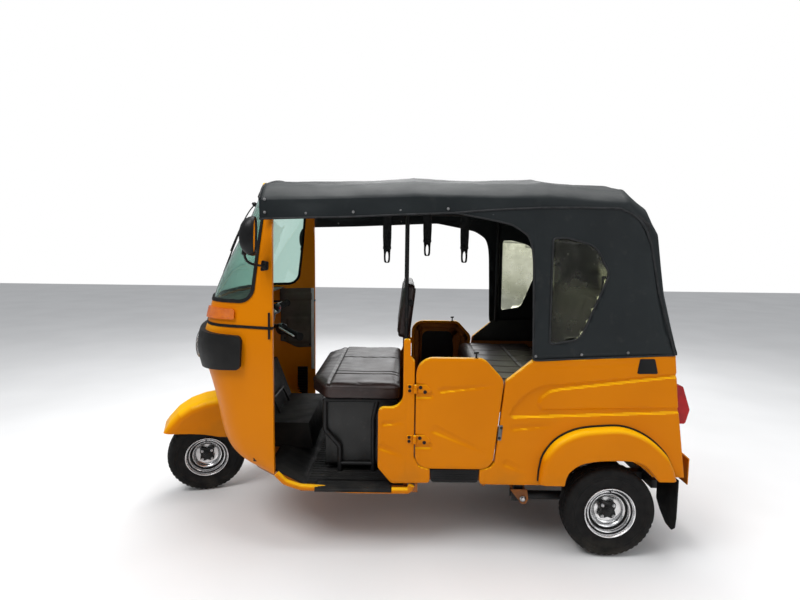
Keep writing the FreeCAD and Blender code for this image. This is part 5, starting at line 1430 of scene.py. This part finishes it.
def seat_skirt():
    """Black vinyl hung round the seat box, gathered into soft folds."""
    outline = along_curve(rounded(oblong(720, -418, 1052, 418), [26] * 4, 20) + [(720, -390)], 260)
    rows = []
    for n in range(25):
        height = 656 - (656 - 330) * n / 24
        row = []
        for k, at in enumerate(outline):
            ring = 2 * math.pi * k / (len(outline) - 1)
            fall = (656 - height) / 326
            out = 1 + fall * (4.5 + 4.0 * math.sin(ring * 17 + 1.1 * math.sin(ring * 5))) \
                + 1.6 * math.sin(ring * 41 + height * 0.02) * fall
            centre = Vector((886, 0))
            way = (Vector(at) - centre).normalized()
            point = Vector(at) + way * out
            row.append(spot(point.x, point.y, height))
        rows.append(row)
    solid = bmesh.new()
    sheet_grid(solid, rows)
    bmesh.ops.remove_doubles(solid, verts=solid.verts, dist=1e-5)
    bmesh.ops.recalc_face_normals(solid, faces=solid.faces)
    skirt = piece("seat_skirt", solid, SKIRT, replaces=("seat_box",))
    shaped_by(skirt, "SOLIDIFY", thickness=0.002, offset=-1)
    settle(skirt)


def backrest_furrow(point, normal):
    across, height = point.y * 1000, point.z * 1000
    if abs(normal.x) < 0.5:
        return 0.0
    depth = line_furrow(across, (-190, -95, 0, 95, 190), 4.5, 5) if 935 < height < 1165 else 0
    return depth + line_furrow(height, (935, 1165), 4.5, 5)


def backrest():
    solid = bmesh.new()
    slab(solid, rounded(oblong(-284, 915, 284, 1190), [34] * 4, 10), "X", 1052, 50, 12, 3)
    bmesh.ops.rotate(solid, verts=solid.verts, cent=spot(1050, 0, 914),
                     matrix=Matrix.Rotation(math.radians(BACKREST_TILT), 3, "Y"))
    pad("driver_back_pad", solid, "driver_backrest", 0.007, 0.008, backrest_furrow)
    solid = bmesh.new()
    for side in (LEFT, RIGHT):
        drum(solid, spot(1112, 288 * side, 1092), 15, 14, (0, side, 0), 24, 4)
        drum(solid, spot(1112, 281 * side, 1092), 9, 12, (0, side, 0), 16, 1)
    piece("backrest_knobs", solid, BLACK)


def bench_furrow(point, normal):
    along, across = station_of(point), point.y * 1000
    if normal.z < 0.5:
        return -line_furrow(point.z * 1000, (738,), 3.0, 4)
    depth = line_furrow(across, [-420 + 140 * k for k in range(7)], 5.5, 6) if along > 1500 else 0
    depth += line_furrow(along, (1495, 1690), 5.5, 6)
    return depth + 5 * math.exp(-((along - 1660) / 120) ** 2) * (0.6 + 0.4 * math.cos(across / 180))


def bench_back_furrow(point, normal):
    across, height = point.y * 1000, point.z * 1000
    if abs(normal.x) < 0.4:
        return 0.0
    depth = line_furrow(across, [-420 + 140 * k for k in range(7)], 5.5, 6) if height < 1120 else 0
    return depth + line_furrow(height, (1125, 900), 5.0, 6)


def bench():
    solid = bmesh.new()
    slab(solid, rounded(oblong(1430, 656, 1888, 746), [8, 8, 16, 34], 8), "Y", -557, 1114, 8, 2)
    pad("bench_seat_pad", solid, "bench_cushion", 0.0095, 0.009, bench_furrow, 0.6545)
    solid = bmesh.new()
    slab(solid, rounded(oblong(-557, 682, 557, 1202), [20, 20, 50, 50], 10), "X", 1896, 82, 12, 3)
    bmesh.ops.rotate(solid, verts=solid.verts, cent=spot(1892, 0, 680),
                     matrix=Matrix.Rotation(math.radians(BENCH_TILT), 3, "Y"))
    pad("bench_back_pad", solid, "bench_back", 0.0095, 0.009, bench_back_furrow)


driver_seat()
seat_skirt()
backrest()
bench()


# Cab: handlebar controls, pedal, lining, mats, straps, and what shows under the floor

RAKE = Vector((math.sin(math.radians(27)), 0, math.cos(math.radians(27))))
RAKE_FOOT = spot(60, 0, 420)
STEER = Matrix.Rotation(math.radians(19), 3, RAKE)


def steered(point):
    return RAKE_FOOT + STEER @ (point - RAKE_FOOT)


def swing(solid):
    for vert in solid.verts:
        vert.co = steered(vert.co)
    bmesh.ops.recalc_face_normals(solid, faces=solid.faces)
    return solid


def red_button():
    red = Finish("red_button", coat=0.3)
    red.tint((0.45, 0.01, 0.008), (0.55, 0.016, 0.012), red.cloud(60, 2))
    return red.material


def dial_face():
    dial = Finish("dial_face", roughness=0.25, coat=1.0, coat_roughness=0.02)
    dial.tint((0.012, 0.012, 0.013), (0.30, 0.30, 0.29), dial.ribs(520, "X"), 0.92, 0.97)
    return dial.material


RED_BUTTON, DIAL = red_button(), dial_face()


# Headset cover: height, half length, half width.
HEADSET = [(912, 30, 40), (918, 38, 58), (936, 42, 76), (958, 43, 82), (980, 42, 80), (998, 38, 68), (1010, 33, 56),
           (1014, 28, 50)]
LEVER = [(398, 182, 972), (388, 198, 978), (392, 224, 978), (412, 262, 974), (440, 312, 968), (452, 334, 966)]


def handlebar_controls():
    """Headset cover with its dial, ribbed grips, switch blocks and hand levers."""
    solid = bmesh.new()
    lofted(solid, [ring_at(solid, spot(330 + (level - 951) * 0.42, 0, level), Vector((1, 0, -0.12)).normalized(),
                           Vector((0, 1, 0)), half_long / 1000, half_wide / 1000, 3.2, 48)
                   for level, half_long, half_wide in HEADSET])
    tinted(solid, 3, drum, spot(362, 0, 1012), 34, 8, (0.35, 0, 1), 40, 2)
    tinted(solid, 0, drum, spot(361, 0, 1009), 40, 10, (0.35, 0, 1), 40, 3)
    for side in (LEFT, RIGHT):
        end = spot(480.6, 330 * side, 961)
        way = (end - spot(390.6, 170 * side, 965)).normalized()
        across = way.cross(Vector((0, 0, 1))).normalized()
        for k in range(20):
            tinted(solid, 1, drum, end - way * (0.006 + 0.0056 * k), 18.6 if k % 2 else 17.4, 5.6, way, 24, 0.6)
        tinted(solid, 1, drum, end + way * 0.001, 21, 6, way, 28, 2)
        # Switch block beside the grip.
        lofted(solid, [ring_at(solid, end - way * (0.128 + 0.011 * k), across, Vector((0, 0, 1)), size / 1000,
                               size * 1.15 / 1000, 3.4, 28) for k, size in enumerate((19, 23, 24, 24, 22, 18))])
        button = end - way * 0.155 + across * side * 0.024 + Vector((0, 0, 0.006))
        tinted(solid, 2 if side > 0 else 1, drum, button, 7, 8, across * side, 18, 1.5)
        tinted(solid, 1, drum, end - way * 0.142 + Vector((0, 0, 0.027)), 6, 8, (0, 0, 1), 16, 1.5)
    piece("headset_and_grips", swing(solid), [BLACK, RUBBER, RED_BUTTON, DIAL], "steering")
    tube("hand_levers", [([steered(spot(x, y * side, z)) for x, y, z in LEVER], False) for side in (LEFT, RIGHT)], 5.0,
         BRIGHT, "steering", resolution=6)


def pedals():
    solid = bmesh.new()
    for across in (-118, 118):
        plate = [(across + y, z) for y, z in ((-24, 392), (24, 392), (22, 442), (-22, 442))]
        tinted(solid, 0, slab, rounded(plate, [8] * 4, 3), "X", 462, 12, 3)
        for k in range(5):
            tinted(solid, 1, slab, oblong(across - 19, 398 + 9 * k, across + 19, 402 + 9 * k), "X", 473, 3, 1)
    bmesh.ops.rotate(solid, verts=solid.verts, cent=spot(462, 0, 417), matrix=Matrix.Rotation(math.radians(24), 3, "Y"))
    piece("foot_pedals", solid, [STEEL, RUBBER])
    arms = [([spot(398, a, 556), spot(418, a, 520), spot(442, a, 460), spot(462, a, 418)], False) for a in (-118, 118)]
    tube("pedal_arms", arms + [([spot(398, -136, 556), spot(398, 136, 556)], False)], 6, STEEL, resolution=5)

# Inside of the cowl's side wall: height, then how far out it runs at stations 300, 340, 380, 420, 460 and 500.
WALL = [(500, (478, 509, 526, 541, 556, 570)), (560, (488, 514, 529, 543, 557, 571)),
        (700, (503, 519, 532, 546, 559, 573)), (800, (514, 526, 538, 549, 560, 572)),
        (900, (521, 531, 541, 551, 561, 571)), (1000, (510, 522, 535, 547, 559, 571)),
        (1085, (498, 513, 527, 540, 554, 567))]


def wall(station, height):
    """How far out the cowl's wall runs, read from the table."""
    return between([(level, between(list(zip(range(300, 540, 40), row)), station)) for level, row in WALL], height)


def lining_bulge(station, height):
    """Raised pocket and ledge that the board is pressed with."""
    pocket = smoothstep(336, 352, station) * smoothstep(478, 462, station) * smoothstep(730, 748, height) * smoothstep(
        905, 887, height)
    ledge = smoothstep(1008, 1020, height) * smoothstep(1060, 1048, height)
    return 3 + 9 * pocket + 6 * ledge


def cab_lining():
    """Taupe boards inside the cowl's sides with a pale strip behind, and the ribbed pads below them."""
    solid = bmesh.new()
    for side in (LEFT, RIGHT):
        rows = []
        for k in range(34):
            along = 304 + 190 * k / 33
            foot = 706 + 46 * smoothstep(420, 304, along)
            rows.append([spot(along, (wall(along, z) - lining_bulge(along, z)) * side, z)
                         for z in [foot + (1088 - foot) * n / 60 for n in range(61)]])
        faced_grid(solid, rows, Vector((0, -side, 0)))
    bmesh.ops.solidify(solid, geom=solid.faces[:], thickness=0.002)
    for side in (LEFT, RIGHT):
        before = set(solid.faces)
        rows = [[spot(along, (wall(along, z) - 5) * side, z) for z in [560 + 526 * n / 40 for n in range(41)]]
                for along in (490, 496, 502, 508)]
        faces = faced_grid(solid, rows, Vector((0, -side, 0)))
        bmesh.ops.solidify(solid, geom=faces, thickness=0.003)
        for face in solid.faces:
            if face not in before:
                face.material_index = 1
        for along, height in ((330, 1030), (480, 1030), (330, 770), (482, 724)):
            tinted(solid, 3, bolt, spot(along, (wall(along, height) - 4) * side, height), 4, (0, -side, 0))
        for k in range(22):
            height = 388 + 8.8 * k
            inside = (wall(438, max(height, 500)) - 4) * side
            tinted(solid, 2, slab, rounded(oblong(406, height, 470, height + 8.2), [2] * 4, 2), "Y", inside,
                   (-16 if k % 2 else -12) * side, 1.5)
    piece("cab_lining", solid, [LINING, ENAMEL, BLACK, STEEL])
    # Trim inside the rear quarters, up to the canopy.
    solid = bmesh.new()
    for side in (LEFT, RIGHT):
        board = rounded([(1530, 760), (2190, 760), (2190, 905), (1655, 892), (1545, 800)], [4, 10, 10, 20, 10])
        slab(solid, board, "Y", 573 * side, -4 * side, 1.5)
    piece("quarter_trim", solid, SKIRT)


# Over the sill: across, height. Front mat: station, height, half width.
MAT_EDGE = [(540, 306.5), (565, 306.5), (583, 306.2), (598, 306), (607, 304.6), (612.5, 300.5), (616, 294),
            (616.5, 283)]
MAT_FRONT = [(472, 363, 512), (484, 362, 532), (498, 361, 556), (512, 361, 572), (526, 359, 581), (545, 351, 583),
             (570, 340, 583), (600, 325, 583), (626, 312, 583), (640, 306, 583), (652, 304.6, 583)]


def mats():
    """Front mat, its turned-down edge over the sill, and ribs along it."""
    solid = bmesh.new()
    for side in (LEFT, RIGHT):
        rows = [[spot(694 + 340 * k / 24, y * side, z) for y, z in MAT_EDGE] for k in range(25)]
        faced_grid(solid, rows, Vector((0, side, 1)))
    rows = [[spot(along, half * (n / 30 - 1), level + 0.8 * math.sin(n * 1.9 + along * 0.05)) for n in range(61)]
            for along, level, half in MAT_FRONT]
    faced_grid(solid, rows, Vector((0, 0, 1)))
    bmesh.ops.solidify(solid, geom=solid.faces[:], thickness=0.003)
    for k in range(40):
        across = -560 + 28.7 * k
        slab(solid, oblong(656, across - 4, 1082, across + 4), "Z", 304.8, 2.2, 0.8)
    piece("mat_ribs", solid, MAT)


STRAP_SPOTS = [(980, 1263, 1639), (1215, 1306, 1643), (1433, 1269, 1644)]


def straps():
    """Webbing belts that hang from the rail, tapering to a hand loop."""
    solid = bmesh.new()
    for along, low, top in STRAP_SPOTS:
        # Height above the end, half width, half of the loop's hole.
        shape = [(0, 9, 0), (3, 14, 0), (8, 16.5, 3), (16, 18, 6.5), (34, 19, 8), (52, 19, 7), (62, 19.5, 4),
                 (68, 20, 0), (95, 22.5, 0), (150, 25, 0), (220, 25.5, 0), (290, 24, 0),
                 (top - low - 40, 19, 0), (top - low, 16, 0)]
        for way in (-1, 1):
            rows = [[spot(along + way * (inner + (outer - inner) * n / 4), 301 + 1.5 * math.sin(rise / 40), low + rise)
                     for n in range(5)] for rise, outer, inner in shape]
            faced_grid(solid, rows, Vector((0, 1, 0)))
    bmesh.ops.remove_doubles(solid, verts=solid.verts, dist=1e-5)
    bmesh.ops.solidify(solid, geom=solid.faces[:], thickness=0.005)
    for along, low, top in STRAP_SPOTS:
        slab(solid, rounded(oblong(along - 24, low + 80, along + 24, low + 98), [3] * 4, 2), "Y", 295, 10, 1.5)
        drum(solid, spot(along, 300, top + 4), 19, 36, (1, 0, 0), 24, 3)
    piece("hand_straps", solid, BINDING, replaces=("grab_straps",))


def under_floor():
    """Pivot brackets of the trailing arms, and the rear spring coils."""
    solid = bmesh.new()
    for side in (LEFT, RIGHT):
        plate = rounded([(1582, 252), (1661, 252), (1669, 205), (1656, 180), (1636, 182)], [2, 2, 12, 10, 12], 3)
        for level in (492, 432):
            tinted(solid, 0, slab, plate, "Y", level * side, 6 * side, 1.5)
        tinted(solid, 2, bolt, spot(1642, 500 * side, 208), 9, (0, side, 0), 8)
        tinted(solid, 1, drum, spot(1642, 466 * side, 208), 12, 62, (0, 1, 0), 20, 1)
    # The bracket plates take the body paint darkened as painted shade.
    piece("pivot_brackets", solid, [SHADED_INNER, STEEL, BRIGHT])
    coils = []
    for side in (LEFT, RIGHT):
        low, high = spot(1862, 455 * side, 262), spot(1862, 455 * side, 560)
        coils.append(([low.lerp(high, k / 216) + Vector((0.031 * math.cos(math.radians(k * 15)),
                                                          0.031 * math.sin(math.radians(k * 15)), 0))
                       for k in range(217)], False))
    tube("rear_coils", coils, 5, STEEL, resolution=1)


handlebar_controls()
pedals()
cab_lining()
mats()
straps()
under_floor()


# Floor, lights and background


def pale_floor():
    floor = Finish("pale_floor", roughness=0.75, specular=0.2)
    floor.tint((0.80, 0.80, 0.80), (0.84, 0.84, 0.84), floor.cloud(1.2, 2))
    floor.sheen_spots(floor.cloud(3, 2), 0.7, 0.8)
    ground = bmesh.new()
    bmesh.ops.create_grid(ground, x_segments=1, y_segments=1, size=14)
    bmesh.ops.translate(ground, verts=ground.verts, vec=(0, 0, -0.0005))
    mesh = bpy.data.meshes.new("pale_floor")
    ground.to_mesh(mesh)
    ground.free()
    mesh.materials.append(floor.material)
    made = bpy.data.objects.new("pale_floor", mesh)
    bpy.context.scene.collection.objects.link(made)
    return made


LIGHTS = [
    # name, place, what it looks at, size in metres, watts
    ("key_light", (-2.4, -2.6, 4.6), (0.0, -0.2, 0.7), 2.2, 120),
    ("fill_light", (3.2, -3.4, 2.4), (0.2, 0, 0.7), 3.0, 34),
    ("top_light", (0.2, 0.3, 4.8), (0, 0, 0), 3.4, 190),
    ("far_light", (0.5, 4.0, 2.8), (0, 0, 0.9), 3.0, 60),
]


def soft_lights():
    lights = []
    for name, place, target, size, power in LIGHTS:
        lamp = bpy.data.lights.new(name, "AREA")
        lamp.size = size
        lamp.energy = power
        holder = bpy.data.objects.new(name, lamp)
        bpy.context.scene.collection.objects.link(holder)
        holder.location = place
        holder.rotation_euler = (Vector(target) - Vector(place)).to_track_quat("-Z", "Y").to_euler()
        lights.append(holder)
    return lights


def pale_sky():
    """White to the camera and through glass; else a soft sky, brighter overhead than at the horizon."""
    world = bpy.data.worlds.new("pale_sky")
    world.use_nodes = True
    tree = world.node_tree
    tree.nodes.clear()

    def node(kind, **values):
        made = tree.nodes.new(kind)
        for name, value in values.items():
            made.inputs[name.replace("_", " ")].default_value = value
        return made

    ways, seen = node("ShaderNodeLightPath"), node("ShaderNodeMath")
    seen.operation = "MAXIMUM"
    around, split = node("ShaderNodeTexCoord"), node("ShaderNodeSeparateXYZ")
    rise = node("ShaderNodeMapRange", From_Min=0.0, From_Max=0.9, To_Min=0.16, To_Max=0.62)
    sky = node("ShaderNodeBackground", Color=(0.95, 0.97, 1.0, 1))
    white = node("ShaderNodeBackground", Color=(1, 1, 1, 1), Strength=1.0)
    mix, out = node("ShaderNodeMixShader"), node("ShaderNodeOutputWorld")
    for first, last in ((ways.outputs["Is Camera Ray"], seen.inputs[0]),
                        (ways.outputs["Is Transmission Ray"], seen.inputs[1]),
                        (around.outputs["Generated"], split.inputs["Vector"]),
                        (split.outputs["Z"], rise.inputs["Value"]),
                        (rise.outputs["Result"], sky.inputs["Strength"]),
                        (seen.outputs["Value"], mix.inputs["Fac"]),
                        (sky.outputs["Background"], mix.inputs[1]),
                        (white.outputs["Background"], mix.inputs[2]),
                        (mix.outputs["Shader"], out.inputs["Surface"])):
        tree.links.new(first, last)
    return world


scene = bpy.context.scene
scene.view_settings.view_transform = "Standard"
ground_piece, lights = pale_floor(), soft_lights()
scene.world = pale_sky()
